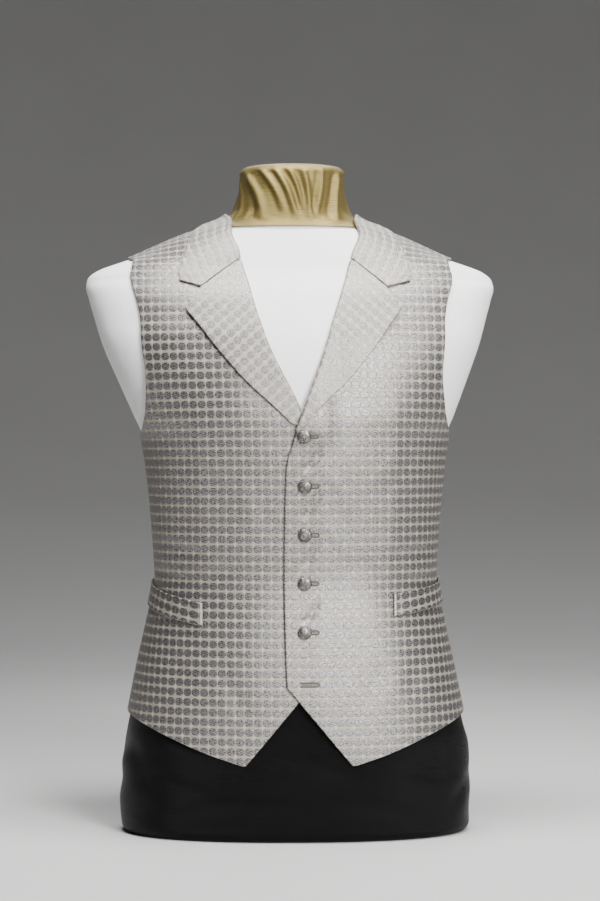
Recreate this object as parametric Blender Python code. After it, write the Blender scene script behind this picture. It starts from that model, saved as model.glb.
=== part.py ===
# A single-breasted waistcoat with a notched collar, worn on a limbless dress form.
#
# All sizes are in millimetres until a mesh is made, which is in metres. +Z is up, the front faces -Y,
# and the wearer's left is +X. Shapes are measured from the axis of the form; ORIGIN moves them so that
# the origin is on the floor, under the middle of the whole.
#
# Every piece is placed on one surface, the covered form. A place on it is an angle round the form,
# 0 at the front centre and 90 degrees at the wearer's left side, and a height. Cloth is a wall whose
# two faces are that surface moved out along its normal, so layers that lie on each other never cross.

from bisect import bisect_right
from math import asin, copysign, cos, degrees, pi, radians, sin, sqrt

import bmesh
import bpy
from mathutils import Vector

MM = 0.001
ORIGIN = Vector((-5.4, -2.0, 0.0))

# Form sizes
FORM_TOP = 738.0
FORM_FOOT_ROUND = 10.0
FORM_TOP_ROUND = 11.0
FORM_TOP_DOME = 2.0
COVER_WALL = 1.5
HIP_COVER_GAP = 0.6
NECK_COVER_GAP = 1.6
HIP_COVER_TOP = 236.0
NECK_COVER_FOOT = 669.0
COVER_STEP = 18.0
FORM_SIDES = 32

# Cloth sizes
CLOTH_WALL = 2.0
SEAM_GAP = 0.35
FOLD_GAP = 0.85
FOLD_FOOT_LIFT = 0.3
SHARP_ANGLE = 40.0
FRONT_SHARES = (0.0, 0.05, 0.1, 0.17, 0.26, 0.37, 0.49, 0.61, 0.74, 0.87, 1.0)
BACK_SHARES = (0.0, 0.14, 0.28, 0.42, 0.56, 0.7, 0.85, 1.0)

# Front overlap
OVERLAP_LIFT = 2.9
OVERLAP_FULL_X = 20.0
OVERLAP_END_X = 50.0
CROSSING_LIFT = 3.4
CROSSING_Z = 462.0
CROSSING_REACH = 46.0
EDGE_STAND = 1.0

# Button sizes, a 24 line button
BUTTON_RADIUS = 7.5
BUTTON_HEIGHT = 5.2
BUTTON_X = 6.3
BUTTON_TOP_Z = 437.2
BUTTON_PITCH = 52.9
BUTTON_COUNT = 5
BUTTON_SIDES = 14
BUTTON_GAP = 0.7

# The covered form, section by section. Each section is a rounded oblong: half_width to the sides,
# front and back measured from the widest line, which lies at ridge_y. square_x and square_y say how
# square its corners are. centre_x is the slight lean of the upper body.
FORM_COLUMNS = ("z", "half_width", "front", "back", "centre_x", "ridge_y", "square_x", "square_y")
FORM_ROWS = (
    (0, 193.5, 118, 118, 0.0, 0, 2.3, 2.4),
    (60, 192.8, 120, 128, 0.0, 0, 2.3, 2.4),
    (97, 190.5, 120, 128, 0.0, 0, 2.3, 2.4),
    (142, 181.8, 119, 122, 0.0, 0, 2.3, 2.4),
    (187, 172.5, 117, 113, 0.0, 1, 2.3, 2.4),
    (232, 162.5, 115, 104, 0.0, 3, 2.3, 2.4),
    (280, 153.5, 112, 98, 0.0, 4, 2.3, 2.3),
    (321, 155.4, 115, 97, 0.0, 4, 2.3, 2.3),
    (366, 158.9, 120, 102, 0.0, 4, 2.3, 2.3),
    (400, 162.5, 125, 108, -0.5, 4, 2.3, 2.3),
    (433, 167.5, 129, 115, -1.2, 5, 2.3, 2.4),
    (461, 179.0, 132, 118, -2.0, 7, 2.3, 2.6),
    (500, 195.0, 132, 120, -3.6, 10, 2.2, 2.8),
    (540, 211.0, 127, 119, -5.0, 13, 2.1, 2.8),
    (568, 219.5, 119, 116, -5.4, 16, 2.0, 2.6),
    (590, 225.8, 110, 112, -5.5, 18, 2.0, 2.4),
    (604, 229.3, 101, 108, -5.4, 19, 2.0, 2.2),
    (613, 227.8, 95, 104, -5.8, 20, 2.0, 2.0),
    (621, 219.5, 90, 100, -6.0, 20, 2.0, 2.0),
    (636, 180.0, 84, 92, -6.0, 20, 2.0, 2.0),
    (659, 127.0, 72, 78, -5.5, 18, 2.0, 2.0),
    (678, 77.0, 62, 64, -5.0, 14, 2.0, 2.0),
    (692, 63.0, 58, 58, -4.5, 10, 2.0, 2.0),
    (712, 59.0, 57, 57, -3.8, 6, 2.0, 2.0),
    (738, 58.8, 57, 57, -3.4, 4, 2.0, 2.0),
)
FORM_HEIGHTS = (
    0, 3, 10, 40, 75, 108, 142, 175, 205, 236, 258, 282, 310, 345, 380, 403, 418, 430, 441, 453, 466,
    480, 508, 540, 566, 588, 602, 613, 621, 628, 636, 648, 659, 669, 678, 686, 696, 712, 727, 734, 738,
)

# How far the cloth's inner face stands off the covered form.
EASE_COLUMNS = ("z", "ease")
EASE_ROWS = ((80, 2.6), (280, 2.5), (430, 2.5), (540, 2.2), (600, 1.6), (634, 1.1), (680, 1.0))

# The front edge and, above the top button, the roll line: distance from the centre line, for the left
# front, which lies over, and the right front under it. A minus sign is past the centre line.
EDGE_COLUMNS = ("z", "over", "under")
EDGE_ROWS = (
    (167, -13.5, -13.5), (218, -15.4, -15.4), (285, -16.4, -16.4), (347, -15.9, -15.9),
    (400, -14.0, -14.0), (410, -12.6, -13.2), (422, -8.9, -12.0), (432, -5.5, -10.2),
    (440, -2.5, -8.0), (450, 2.4, -4.8), (459, 6.4, -2.0), (469, 10.2, 0.6), (486, 17.4, 8.0),
    (502, 24.2, 16.2), (518, 30.8, 23.8), (537, 37.8, 31.8), (553, 43.0, 37.1), (573, 49.6, 43.6),
    (595, 56.8, 49.6), (612, 62.2, 54.3), (629, 66.8, 58.7),
)
HEM_TIP = (58.5, 82.6)
FRONT_CORNER_Z = 167.0

# The neckline, from the top of the gorge seam, over the shoulder, to the centre back, and the collar's
# outer edge. The collar sits a little to the wearer's left, by the leans.
NECK_COLUMNS = ("station", "angle", "lean", "z", "fall_angle", "fall_lean", "fall_z")
NECK_ROWS = (
    (0, 18.38, 1.22, 629.0, 33.1, 0.8, 604.0),
    (0.5, 22.7, 1.8, 640.5, 34.2, 1.1, 620.0),
    (1, 28.2, 2.1, 650.3, 40.8, 1.5, 634.5),
    (1.5, 36.3, 2.2, 661.0, 48.3, 2.0, 646.5),
    (2, 47.0, 2.0, 670.0, 56.5, 2.0, 656.5),
    (3, 70.0, 1.0, 679.0, 72.0, 1.0, 666.8),
    (4, 93.0, 0.0, 682.0, 93.0, 0.0, 671.0),
    (5, 135.0, 0.0, 681.0, 135.0, 0.0, 660.0),
    (6, 180.0, 0.0, 680.0, 180.0, 0.0, 654.0),
)
NOTCH_PLACE = (102.0, 597.0)
NOTCH_LEAN = 1.2
NOTCH_SHARE = 0.65

# One front. edge_z is the height of its front edge, side_angle and side_z follow its outer edge: hem,
# side seam, armhole and shoulder seam. From station 11 on the inner edge is the neckline.
FRONT_COLUMNS = ("station", "edge_z", "side_angle", "side_z")
FRONT_ROWS = (
    (0, 83.0, 15.3, 82.8),
    (1, 99.5, 27.0, 94.4),
    (2, 117.0, 45.0, 112.0),
    (3, 139.5, 66.0, 126.0),
    (4, 167.0, 100.0, 138.0),
    (5, 262.0, 100.0, 236.0),
    (6, 352.0, 100.0, 334.0),
    (7, 430.0, 100.0, 426.0),
    (7.3, 444.0, 84.0, 437.0),
    (7.6, 458.0, 70.5, 449.0),
    (8, 478.0, 60.8, 466.0),
    (9, 530.0, 51.2, 518.0),
    (10, 582.0, 48.8, 577.0),
    (11, 629.0, 51.5, 617.0),
    (11.5, 629.0, 63.0, 630.5),
    (12, 629.0, 93.0, 637.0),
    (13, 629.0, 93.0, 681.2),
)
FRONT_CORNERS = (4, 7, 12)
FRONT_ROW_COUNTS = ((0, 1, 2), (1, 2, 2), (2, 3, 2), (3, 4, 3), (4, 5, 4), (5, 6, 4), (6, 7, 4),
                    (7, 8, 8), (8, 9, 4), (9, 10, 4), (10, 11, 5), (11, 12, 6), (12, 13, 6))
NECK_STATION = 11
SIDE_SEAM = (4, 7)
SHOULDER_SEAM = 12

# One back, from the hem up. Its inner edge is the centre back seam up to station 12, then the neckline.
BACK_COLUMNS = ("station", "middle_z", "side_angle", "side_z")
BACK_ROWS = (
    (4, 140.0, 100.0, 138.0),
    (5, 236.0, 100.0, 236.0),
    (6, 334.0, 100.0, 334.0),
    (7, 430.0, 100.0, 426.0),
    (7.3, 444.0, 105.5, 437.0),
    (7.6, 458.0, 111.0, 449.0),
    (8, 478.0, 116.0, 466.0),
    (9, 530.0, 123.5, 518.0),
    (10, 585.0, 126.5, 577.0),
    (11, 636.0, 122.0, 617.0),
    (11.5, 658.0, 111.0, 630.5),
    (12, 680.0, 93.0, 637.0),
    (13, 680.0, 93.0, 681.2),
)
BACK_CORNERS = (7, 12)
BACK_ROW_COUNTS = ((4, 5, 4), (5, 6, 4), (6, 7, 4), (7, 8, 4), (8, 9, 3), (9, 10, 3), (10, 11, 3),
                   (11, 12, 5), (12, 13, 6))
BACK_OF_NECK_ANGLE = 150.0

# One lapel, from the break up. Past station 7 its edge is the gorge seam.
LAPEL_COLUMNS = ("station", "roll_z", "edge_x", "edge_lean", "edge_z")
LAPEL_ROWS = (
    (0, 443.0, 0.2, 0.0, 443.8),
    (1, 453.0, 13.6, 0.0, 456.5),
    (2, 474.0, 31.0, 0.3, 472.8),
    (3, 502.0, 51.2, 0.8, 491.6),
    (4, 528.0, 71.8, 1.2, 514.0),
    (5, 553.0, 93.2, 1.3, 540.5),
    (6, 580.0, 117.8, 0.0, 573.0),
    (7, 600.0, 102.0, 0.0, 596.5),
    (8, 627.6, 102.0, 0.0, 596.5),
)
LAPEL_CORNERS = (6, 7)
LAPEL_ROW_COUNTS = ((0, 1, 2), (1, 2, 2), (2, 3, 2), (3, 4, 2), (4, 5, 3), (5, 6, 3), (6, 7, 2), (7, 8, 3))
UNDER_LAPEL_START = 0.5
GORGE_END = 0.02
GORGE_GAP = 1.1
LAST_FREE_STATION = 6.0
LAPEL_SHARES = (0.0, 0.16, 0.34, 0.55, 0.78, 1.0)
COLLAR_SHARES = (0.0, 0.2, 0.42, 0.65, 0.82, 1.0)
COLLAR_ROW_COUNTS = ((0, 1, 3), (1, 2, 3), (2, 3, 3), (3, 4, 3), (4, 5, 3), (5, 6, 3))
ROLL_TURNS = (0.0, 45.0)

# Pocket welts: heights of the lower edge at the inner and the outer end.
WELT_COLUMNS = ("side", "inner_z", "outer_z")
WELT_ROWS = ((-1, 231.0, 253.5), (1, 240.5, 256.0))
WELT_HEIGHT = 24.5
WELT_INNER_X = 103.5
WELT_OUTER_ANGLE = 96.0
WELT_GAP = 1.1
WELT_COLUMNS_COUNT = 12
WELT_ROWS_COUNT = 2


class Table:
    """A table with named columns, read smoothly between its rows and sharply at its corners."""

    def __init__(self, columns, rows, corners=()):
        self.at = [float(row[0]) for row in rows]
        self.columns = {}
        for index, name in enumerate(columns[1:], 1):
            values = [float(row[index]) for row in rows]
            self.columns[name] = (values, self.slopes(values, corners))

    def slopes(self, values, corners):
        """Slope before and after each row: one monotone slope, or the two chords at a corner."""
        at = self.at
        last = len(at) - 1
        chords = [(values[k + 1] - values[k]) / (at[k + 1] - at[k]) for k in range(last)]
        pairs = [(chords[0], chords[0])]
        for k in range(1, last):
            before, after = chords[k - 1], chords[k]
            if at[k] in corners:
                pairs.append((before, after))
            elif before * after <= 0:
                pairs.append((0.0, 0.0))
            else:
                near, far = at[k] - at[k - 1], at[k + 1] - at[k]
                weight_before, weight_after = 2 * far + near, far + 2 * near
                slope = (weight_before + weight_after) / (weight_before / before + weight_after / after)
                pairs.append((slope, slope))
        pairs.append((chords[-1], chords[-1]))
        return pairs

    def read(self, name, at):
        """Value of a column at a place along the table."""
        values, slopes = self.columns[name]
        at = min(max(at, self.at[0]), self.at[-1])
        k = min(max(bisect_right(self.at, at) - 1, 0), len(self.at) - 2)
        span = self.at[k + 1] - self.at[k]
        t = (at - self.at[k]) / span
        start = (1 + 2 * t) * (1 - t) ** 2 * values[k] + t * (1 - t) ** 2 * span * slopes[k][1]
        end = t * t * (3 - 2 * t) * values[k + 1] - t * t * (1 - t) * span * slopes[k + 1][0]
        return start + end


FORM = Table(FORM_COLUMNS, FORM_ROWS)
EASE = Table(EASE_COLUMNS, EASE_ROWS)
EDGE = Table(EDGE_COLUMNS, EDGE_ROWS)
NECK = Table(NECK_COLUMNS, NECK_ROWS, corners=(0,))
FRONT = Table(FRONT_COLUMNS, FRONT_ROWS, corners=FRONT_CORNERS)
BACK = Table(BACK_COLUMNS, BACK_ROWS, corners=BACK_CORNERS)
LAPEL = Table(LAPEL_COLUMNS, LAPEL_ROWS, corners=LAPEL_CORNERS)


def ramp(value, low, high):
    """Smooth step from 0 at low to 1 at high."""
    t = min(max((value - low) / (high - low), 0.0), 1.0)
    return t * t * (3 - 2 * t)


def mix(a, b, t):
    return a + (b - a) * t


# The surface of the covered form

def round_inset(z):
    """How far the rounded foot and the rounded top of the neck draw the section in."""
    if z < FORM_FOOT_ROUND:
        rise = FORM_FOOT_ROUND - max(z, 0.0)
        return FORM_FOOT_ROUND - sqrt(FORM_FOOT_ROUND ** 2 - rise ** 2)
    shoulder = FORM_TOP - FORM_TOP_ROUND
    if z > shoulder:
        rise = min(z, FORM_TOP) - shoulder
        return FORM_TOP_ROUND - sqrt(FORM_TOP_ROUND ** 2 - rise ** 2)
    return 0.0


def form_point(angle, z, inset=0.0):
    """Point of the covered form at an angle in degrees and a height, drawn in by inset."""
    drawn = round_inset(z) + inset
    s, c = sin(radians(angle)), cos(radians(angle))
    wide = (FORM.read("half_width", z) - drawn) * abs(s) ** (2 / FORM.read("square_x", z))
    reach = FORM.read("front" if c > 0 else "back", z) - drawn
    deep = reach * abs(c) ** (2 / FORM.read("square_y", z))
    x = FORM.read("centre_x", z) + copysign(wide, s)
    y = FORM.read("ridge_y", z) - copysign(deep, c)
    return Vector((x, y, z))


def form_normal(angle, z):
    along = form_point(angle + 0.6, z) - form_point(angle - 0.6, z)
    up = form_point(angle, z + 1) - form_point(angle, z - 1)
    return along.cross(up).normalized()


def cloth_point(angle, z, rise):
    """Point that stands off the covered form by rise, square to it."""
    return form_point(angle, z) + form_normal(angle, z) * rise


def angle_for(x, z):
    """Angle of the place that lies x from the centre line, seen from the front."""
    reach = FORM.read("half_width", z) + EASE.read("ease", z) + CLOTH_WALL
    share = min(abs(x) / reach, 1.0)
    return copysign(degrees(asin(share ** (FORM.read("square_x", z) / 2))), x)


def shy(angle, z, towards):
    """Angle moved by half a seam gap, so that two pieces which meet there stay apart."""
    speed = (form_point(angle + 0.5, z) - form_point(angle - 0.5, z)).length
    return angle + copysign(SEAM_GAP / 2 / speed, towards - angle)


# Meshes

def material(name, colour, roughness, metallic=0.0):
    made = bpy.data.materials.new(name)
    made.use_nodes = True
    shader = made.node_tree.nodes["Principled BSDF"]
    shader.inputs["Base Color"].default_value = (*colour, 1.0)
    shader.inputs["Roughness"].default_value = roughness
    shader.inputs["Metallic"].default_value = metallic
    return made


def add_object(name, points, faces, finish):
    """One closed object, its points given in millimetres."""
    mesh = bpy.data.meshes.new(name)
    mesh.from_pydata([(point - ORIGIN) * MM for point in points], [], faces)
    built = bmesh.new()
    built.from_mesh(mesh)
    bmesh.ops.recalc_face_normals(built, faces=built.faces)
    built.to_mesh(mesh)
    built.free()
    mesh.materials.append(finish)
    mesh.shade_smooth()
    mesh.set_sharp_from_angle(angle=radians(SHARP_ANGLE))
    made = bpy.data.objects.new(name, mesh)
    bpy.context.scene.collection.objects.link(made)
    return made


def wall(name, outer, inner, finish, ring=False):
    """Close two facing grids of points, row by row, into one solid wall."""
    rows, columns = len(outer), len(outer[0])
    layer = rows * columns
    spans = columns if ring else columns - 1

    def out(row, column):
        return row * columns + column % columns

    def back(row, column):
        return layer + out(row, column)

    faces = []
    for row in range(rows - 1):
        for column in range(spans):
            corners = ((row, column), (row, column + 1), (row + 1, column + 1), (row + 1, column))
            faces.append([out(*corner) for corner in corners])
            faces.append([back(*corner) for corner in reversed(corners)])
        if not ring:
            faces.append([out(row, 0), out(row + 1, 0), back(row + 1, 0), back(row, 0)])
            faces.append([back(row, spans), back(row + 1, spans), out(row + 1, spans), out(row, spans)])
    for column in range(spans):
        faces.append([back(0, column), back(0, column + 1), out(0, column + 1), out(0, column)])
        top = rows - 1
        faces.append([out(top, column), out(top, column + 1), back(top, column + 1), back(top, column)])
    points = [point for row in outer for point in row] + [point for row in inner for point in row]
    return add_object(name, points, faces, finish)


def rings_to_solid(name, rings, foot, head, finish):
    """Solid turned from rings of points, closed by a fan at each end."""
    sides = len(rings[0])
    points = [point for ring in rings for point in ring] + [foot, head]
    foot_index, head_index = len(points) - 2, len(points) - 1
    last = (len(rings) - 1) * sides
    faces = []
    for row in range(len(rings) - 1):
        low, high = row * sides, (row + 1) * sides
        for side in range(sides):
            after = (side + 1) % sides
            faces.append([low + side, low + after, high + after, high + side])
    for side in range(sides):
        after = (side + 1) % sides
        faces.append([foot_index, after, side])
        faces.append([head_index, last + side, last + after])
    return add_object(name, points, faces, finish)


def stations_of(counts, start=None):
    """Stations of the rows: each stretch between two stations is cut into its own count."""
    stations = [mix(low, high, k / count) for low, high, count in counts for k in range(count)]
    stations.append(float(counts[-1][1]))
    if start is None:
        return stations
    return [start] + [station for station in stations if station > start + 0.01]


# The dress form

def cover_inset(z):
    """The form is slimmer under its two covers by their thickness."""
    hips = 1 - ramp(z, HIP_COVER_TOP, HIP_COVER_TOP + COVER_STEP)
    neck = ramp(z, NECK_COVER_FOOT - COVER_STEP, NECK_COVER_FOOT)
    return (COVER_WALL + HIP_COVER_GAP) * hips + (COVER_WALL + NECK_COVER_GAP) * neck


def form_ring(z, inset, sides=FORM_SIDES):
    return [form_point(360 * side / sides, z, inset) for side in range(sides)]


def axis_point(z):
    return Vector((FORM.read("centre_x", z), FORM.read("ridge_y", z), z))


def build_form(finish):
    """The padded form, flat underneath, with its neck domed on top."""
    depth = COVER_WALL + HIP_COVER_GAP
    rings = []
    for z in FORM_HEIGHTS:
        ring = form_ring(z, cover_inset(z))
        drop = depth * ramp(z, FORM_TOP - FORM_TOP_ROUND, FORM_TOP)
        rings.append([point - Vector((0, 0, drop)) for point in ring])
    head = axis_point(FORM_TOP) + Vector((0, 0, FORM_TOP_DOME - depth))
    return rings_to_solid("dress_form", rings, axis_point(0.0), head, finish)


def build_hip_cover(finish):
    """Satin drawn over the hips and turned in round the foot, just clear of the floor."""
    heights = [max(z, 0.5) for z in FORM_HEIGHTS if z <= HIP_COVER_TOP]
    outer = [form_ring(z, 0.0) for z in heights]
    inner = [form_ring(z, COVER_WALL) for z in heights]
    return wall("hip_cover", outer, inner, finish, ring=True)


def build_neck_cover(finish):
    """Silk drawn over the neck, closed on top, its lower edge under the lapels."""
    heights = [z for z in FORM_HEIGHTS if z >= NECK_COVER_FOOT]
    rings = []
    for z in heights:
        drop = COVER_WALL * ramp(z, FORM_TOP - FORM_TOP_ROUND, FORM_TOP)
        inner = form_ring(z, COVER_WALL)
        rings.insert(0, [point - Vector((0, 0, drop)) for point in inner])
    rings += [form_ring(z, 0.0) for z in heights]
    head = axis_point(FORM_TOP) + Vector((0, 0, FORM_TOP_DOME))
    return rings_to_solid("neck_cover", rings, head - Vector((0, 0, COVER_WALL)), head, finish)


# The waistcoat's layers

def front_rise(side, angle, z):
    """Stand-off of a front's inner face. The left front lifts over the right one."""
    ease = EASE.read("ease", z)
    if side < 0:
        return ease
    x = form_point(angle, z).x - FORM.read("centre_x", z)
    over = 1 - ramp(x, OVERLAP_FULL_X, OVERLAP_END_X)
    crossing = 1 - ramp(abs(z - CROSSING_Z), 0.3 * CROSSING_REACH, CROSSING_REACH)
    stand = EDGE_STAND * (1 - ramp(x, -OVERLAP_FULL_X, OVERLAP_FULL_X))
    return ease + over * (OVERLAP_LIFT + CROSSING_LIFT * crossing) + stand


def back_rise(side, angle, z):
    return EASE.read("ease", z)


def edge_x(side, z):
    return EDGE.read("over" if side > 0 else "under", z)


def neck_place(side, station):
    """Place on the neckline of one side, where the collar folds over."""
    return NECK.read("angle", station) + side * NECK.read("lean", station), NECK.read("z", station)


def front_inner_place(side, station):
    """Place of a front's inner edge: the slanted point, the front edge, then the neckline."""
    if station > NECK_STATION:
        along = 2 * (station - NECK_STATION)
        angle, z = neck_place(side, along)
        return (shy(angle, z, 0.0) if along > 3.5 else angle), z
    z = FRONT.read("edge_z", station)
    if z >= FRONT_CORNER_Z:
        return angle_for(edge_x(side, z), z), z
    share = (z - HEM_TIP[1]) / (FRONT_CORNER_Z - HEM_TIP[1])
    return angle_for(mix(HEM_TIP[0], edge_x(side, FRONT_CORNER_Z), share), z), z


def front_ends(side, station):
    """Inner and outer place of one row of a front."""
    angle, z = FRONT.read("side_angle", station), FRONT.read("side_z", station)
    if SIDE_SEAM[0] <= station <= SIDE_SEAM[1] or station >= SHOULDER_SEAM:
        angle = shy(angle, z, 0.0)
    return front_inner_place(side, station), (angle, z)


def back_ends(side, station):
    """Inner and outer place of one row of a back."""
    angle, z = BACK.read("side_angle", station), BACK.read("side_z", station)
    if station <= SIDE_SEAM[1] or station >= SHOULDER_SEAM:
        angle = shy(angle, z, 180.0)
    middle_z = BACK.read("middle_z", station)
    if station <= SHOULDER_SEAM:
        return (shy(180.0, middle_z, 0.0), middle_z), (angle, z)
    along = mix(6, 4, station - SHOULDER_SEAM)
    neck_angle, neck_z = neck_place(side, along)
    return (shy(neck_angle, neck_z, 0.0 if neck_angle > BACK_OF_NECK_ANGLE else 180.0), neck_z), (angle, z)


def row_places(ends, shares):
    (start_angle, start_z), (end_angle, end_z) = ends
    return [(mix(start_angle, end_angle, t), mix(start_z, end_z, t)) for t in shares]


def build_panel(name, side, stations, shares, ends_of, rise_of, finish):
    """A front or a back: rows of places between its inner and its outer edge."""
    inner, outer = [], []
    for station in stations:
        places = row_places(ends_of(side, station), shares)
        rises = [rise_of(side, angle, z) for angle, z in places]
        inner.append([cloth_point(side * angle, z, rise) for (angle, z), rise in zip(places, rises)])
        outer.append([cloth_point(side * angle, z, rise + CLOTH_WALL)
                      for (angle, z), rise in zip(places, rises)])
    return wall(name, outer, inner, finish)


def folded_row(side, places, rise_of, fold_out):
    """One row of a lapel or collar: round the fold at its first place, then on top of the panel."""
    first_angle, first_z = places[0]
    rise = rise_of(side, first_angle, first_z)
    foot = cloth_point(side * first_angle, first_z, rise)
    normal = form_normal(side * first_angle, first_z)
    near, far = FOLD_GAP, FOLD_GAP + CLOTH_WALL
    inner = [foot + fold_out * near + normal * FOLD_FOOT_LIFT]
    outer = [foot + fold_out * far + normal * FOLD_FOOT_LIFT]
    for turn in ROLL_TURNS:
        ahead = fold_out * cos(radians(turn)) + normal * sin(radians(turn))
        inner.append(foot + normal * CLOTH_WALL + ahead * near)
        outer.append(foot + normal * CLOTH_WALL + ahead * far)
    for angle, z in places:
        top = rise_of(side, angle, z) + CLOTH_WALL
        inner.append(cloth_point(side * angle, z, top + near))
        outer.append(cloth_point(side * angle, z, top + far))
    return inner, outer


def fold_direction(side, places, rise_of):
    """Level direction, square to the surface's normal, from the panel out past the fold."""
    (angle, z), (next_angle, next_z) = places[0], places[1]
    rise = rise_of(side, angle, z)
    here = cloth_point(side * angle, z, rise)
    there = cloth_point(side * next_angle, next_z, rise)
    normal = form_normal(side * angle, z)
    away = here - there
    return (away - normal * away.dot(normal)).normalized()


def gorge_place(side, share):
    """Place on the gorge seam: 0 at the neckline, 1 at the inner corner of the notch."""
    start_z = NECK.read("z", 0)
    x = mix(edge_x(side, start_z), NOTCH_PLACE[0] + side * NOTCH_LEAN, share)
    z = mix(start_z, NOTCH_PLACE[1], share)
    return angle_for(x, z), z


def lapel_ends(side, station):
    roll_z = LAPEL.read("roll_z", station)
    roll = angle_for(edge_x(side, roll_z), roll_z), roll_z
    if station > 7:
        angle, z = gorge_place(side, mix(1.0, GORGE_END, station - 7))
        return roll, (angle, z - GORGE_GAP)
    z = LAPEL.read("edge_z", station)
    lean = LAPEL.read("edge_lean", station) + NOTCH_LEAN * ramp(station, 6, 7)
    return roll, (angle_for(LAPEL.read("edge_x", station) + side * lean, z), z)


def build_lapel(name, side, start, finish):
    inner, outer = [], []
    for station in stations_of(LAPEL_ROW_COUNTS, start):
        places = row_places(lapel_ends(side, station), LAPEL_SHARES)
        fold_places = row_places(lapel_ends(side, min(station, LAST_FREE_STATION)), (0.0, 0.2))
        fold_out = fold_direction(side, fold_places, front_rise)
        near, far = folded_row(side, places, front_rise, fold_out)
        inner.append(near)
        outer.append(far)
    return wall(name, outer, inner, finish)


def fall_place(side, station):
    """Place on the collar's outer edge."""
    return (NECK.read("fall_angle", station) + side * NECK.read("fall_lean", station),
            NECK.read("fall_z", station))


def notched_place(side, share):
    """Place on the collar's end: down the gorge seam, then out along the notch."""
    if share <= NOTCH_SHARE:
        return gorge_place(side, share / NOTCH_SHARE)
    notch, corner = gorge_place(side, 1.0), fall_place(side, 0)
    past = (share - NOTCH_SHARE) / (1 - NOTCH_SHARE)
    return mix(notch[0], corner[0], past), mix(notch[1], corner[1], past)


def collar_places(side, station):
    """Places of one row of the collar. Near its end the rows bend to follow the gorge and the notch."""
    bend = max(1 - station, 0.0) ** 2
    row = row_places((neck_place(side, station), fall_place(side, station)), COLLAR_SHARES)
    straight_end = row_places((neck_place(side, 0), fall_place(side, 0)), COLLAR_SHARES)
    places = []
    for share, (angle, z), (plain_angle, plain_z) in zip(COLLAR_SHARES, row, straight_end):
        end_angle, end_z = notched_place(side, share)
        places.append((angle + (end_angle - plain_angle) * bend, z + (end_z - plain_z) * bend))
    return places


def collar_rise(side, angle, z):
    return front_rise(side, angle, z) if angle < 90 else back_rise(side, angle, z)


def build_collar(finish):
    """From the right gorge seam, round the back neck, to the left one."""
    inner, outer = [], []
    half = stations_of(COLLAR_ROW_COUNTS)
    halves = [(-1, station) for station in half] + [(1, station) for station in reversed(half[:-1])]
    for side, station in halves:
        places = collar_places(side, station)
        fold_out = fold_direction(side, places, collar_rise)
        near, far = folded_row(side, places, collar_rise, fold_out)
        inner.append(near)
        outer.append(far)
    return wall("collar", outer, inner, finish)


def build_welt(name, side, inner_z, outer_z, finish):
    """A slanted band that lies on the front, its ends sewn down."""
    inner, outer = [], []
    for row in range(WELT_ROWS_COUNT + 1):
        up = WELT_HEIGHT * row / WELT_ROWS_COUNT
        near, far = [], []
        for column in range(WELT_COLUMNS_COUNT + 1):
            t = column / WELT_COLUMNS_COUNT
            z = mix(inner_z, outer_z, t) + up
            angle = mix(angle_for(WELT_INNER_X, z), WELT_OUTER_ANGLE, t)
            rise = front_rise(side, angle, z) + CLOTH_WALL + WELT_GAP
            near.append(cloth_point(side * angle, z, rise))
            far.append(cloth_point(side * angle, z, rise + CLOTH_WALL))
        inner.append(near)
        outer.append(far)
    return wall(name, outer, inner, finish)


def build_button(name, z, finish):
    """Domed covered button on a short shank, seated on the left front."""
    angle = angle_for(BUTTON_X, z)
    rise = front_rise(1, angle, z) + CLOTH_WALL
    seat = cloth_point(angle, z, rise + BUTTON_GAP)
    axis = form_normal(angle, z)
    across = Vector((0, 0, 1)).cross(axis).normalized()
    up = axis.cross(across)
    back_height = 0.2 * BUTTON_HEIGHT
    profile = [(0.34, 0.0), (0.34, back_height), (0.85, back_height), (1.0, 0.42 * BUTTON_HEIGHT),
               (0.93, 0.68 * BUTTON_HEIGHT), (0.72, 0.87 * BUTTON_HEIGHT), (0.4, 0.975 * BUTTON_HEIGHT)]
    rings = []
    for radius, height in profile:
        ring = []
        for side in range(BUTTON_SIDES):
            turn = 2 * pi * side / BUTTON_SIDES
            spoke = across * cos(turn) + up * sin(turn)
            ring.append(seat + spoke * radius * BUTTON_RADIUS + axis * height)
        rings.append(ring)
    return rings_to_solid(name, rings, seat, seat + axis * BUTTON_HEIGHT, finish)


def clear_scene():
    for left_over in list(bpy.data.objects):
        bpy.data.objects.remove(left_over, do_unlink=True)


def build():
    clear_scene()
    brocade = material("brocade", (0.42, 0.41, 0.39), 0.5, 0.1)
    back_satin = material("back_satin", (0.30, 0.30, 0.30), 0.45)
    black_satin = material("black_satin", (0.012, 0.012, 0.014), 0.45)
    gold_silk = material("gold_silk", (0.42, 0.31, 0.13), 0.4)
    white_cotton = material("white_cotton", (0.78, 0.78, 0.76), 0.9)

    build_form(white_cotton)
    build_hip_cover(black_satin)
    build_neck_cover(gold_silk)
    for side, label in ((1, "left"), (-1, "right")):
        front_stations = stations_of(FRONT_ROW_COUNTS)
        back_stations = stations_of(BACK_ROW_COUNTS)
        build_panel("front_" + label, side, front_stations, FRONT_SHARES, front_ends, front_rise, brocade)
        build_panel("back_" + label, side, back_stations, BACK_SHARES, back_ends, back_rise, back_satin)
        build_lapel("lapel_" + label, side, None if side > 0 else UNDER_LAPEL_START, brocade)
    build_collar(brocade)
    for row in WELT_ROWS:
        welt = dict(zip(WELT_COLUMNS, row))
        label = "left" if welt["side"] > 0 else "right"
        build_welt("pocket_welt_" + label, welt["side"], welt["inner_z"], welt["outer_z"], brocade)
    for number in range(BUTTON_COUNT):
        build_button("button_" + str(number + 1), BUTTON_TOP_Z - BUTTON_PITCH * number, brocade)


build()
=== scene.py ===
from math import cos, pi, radians, sin

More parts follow.
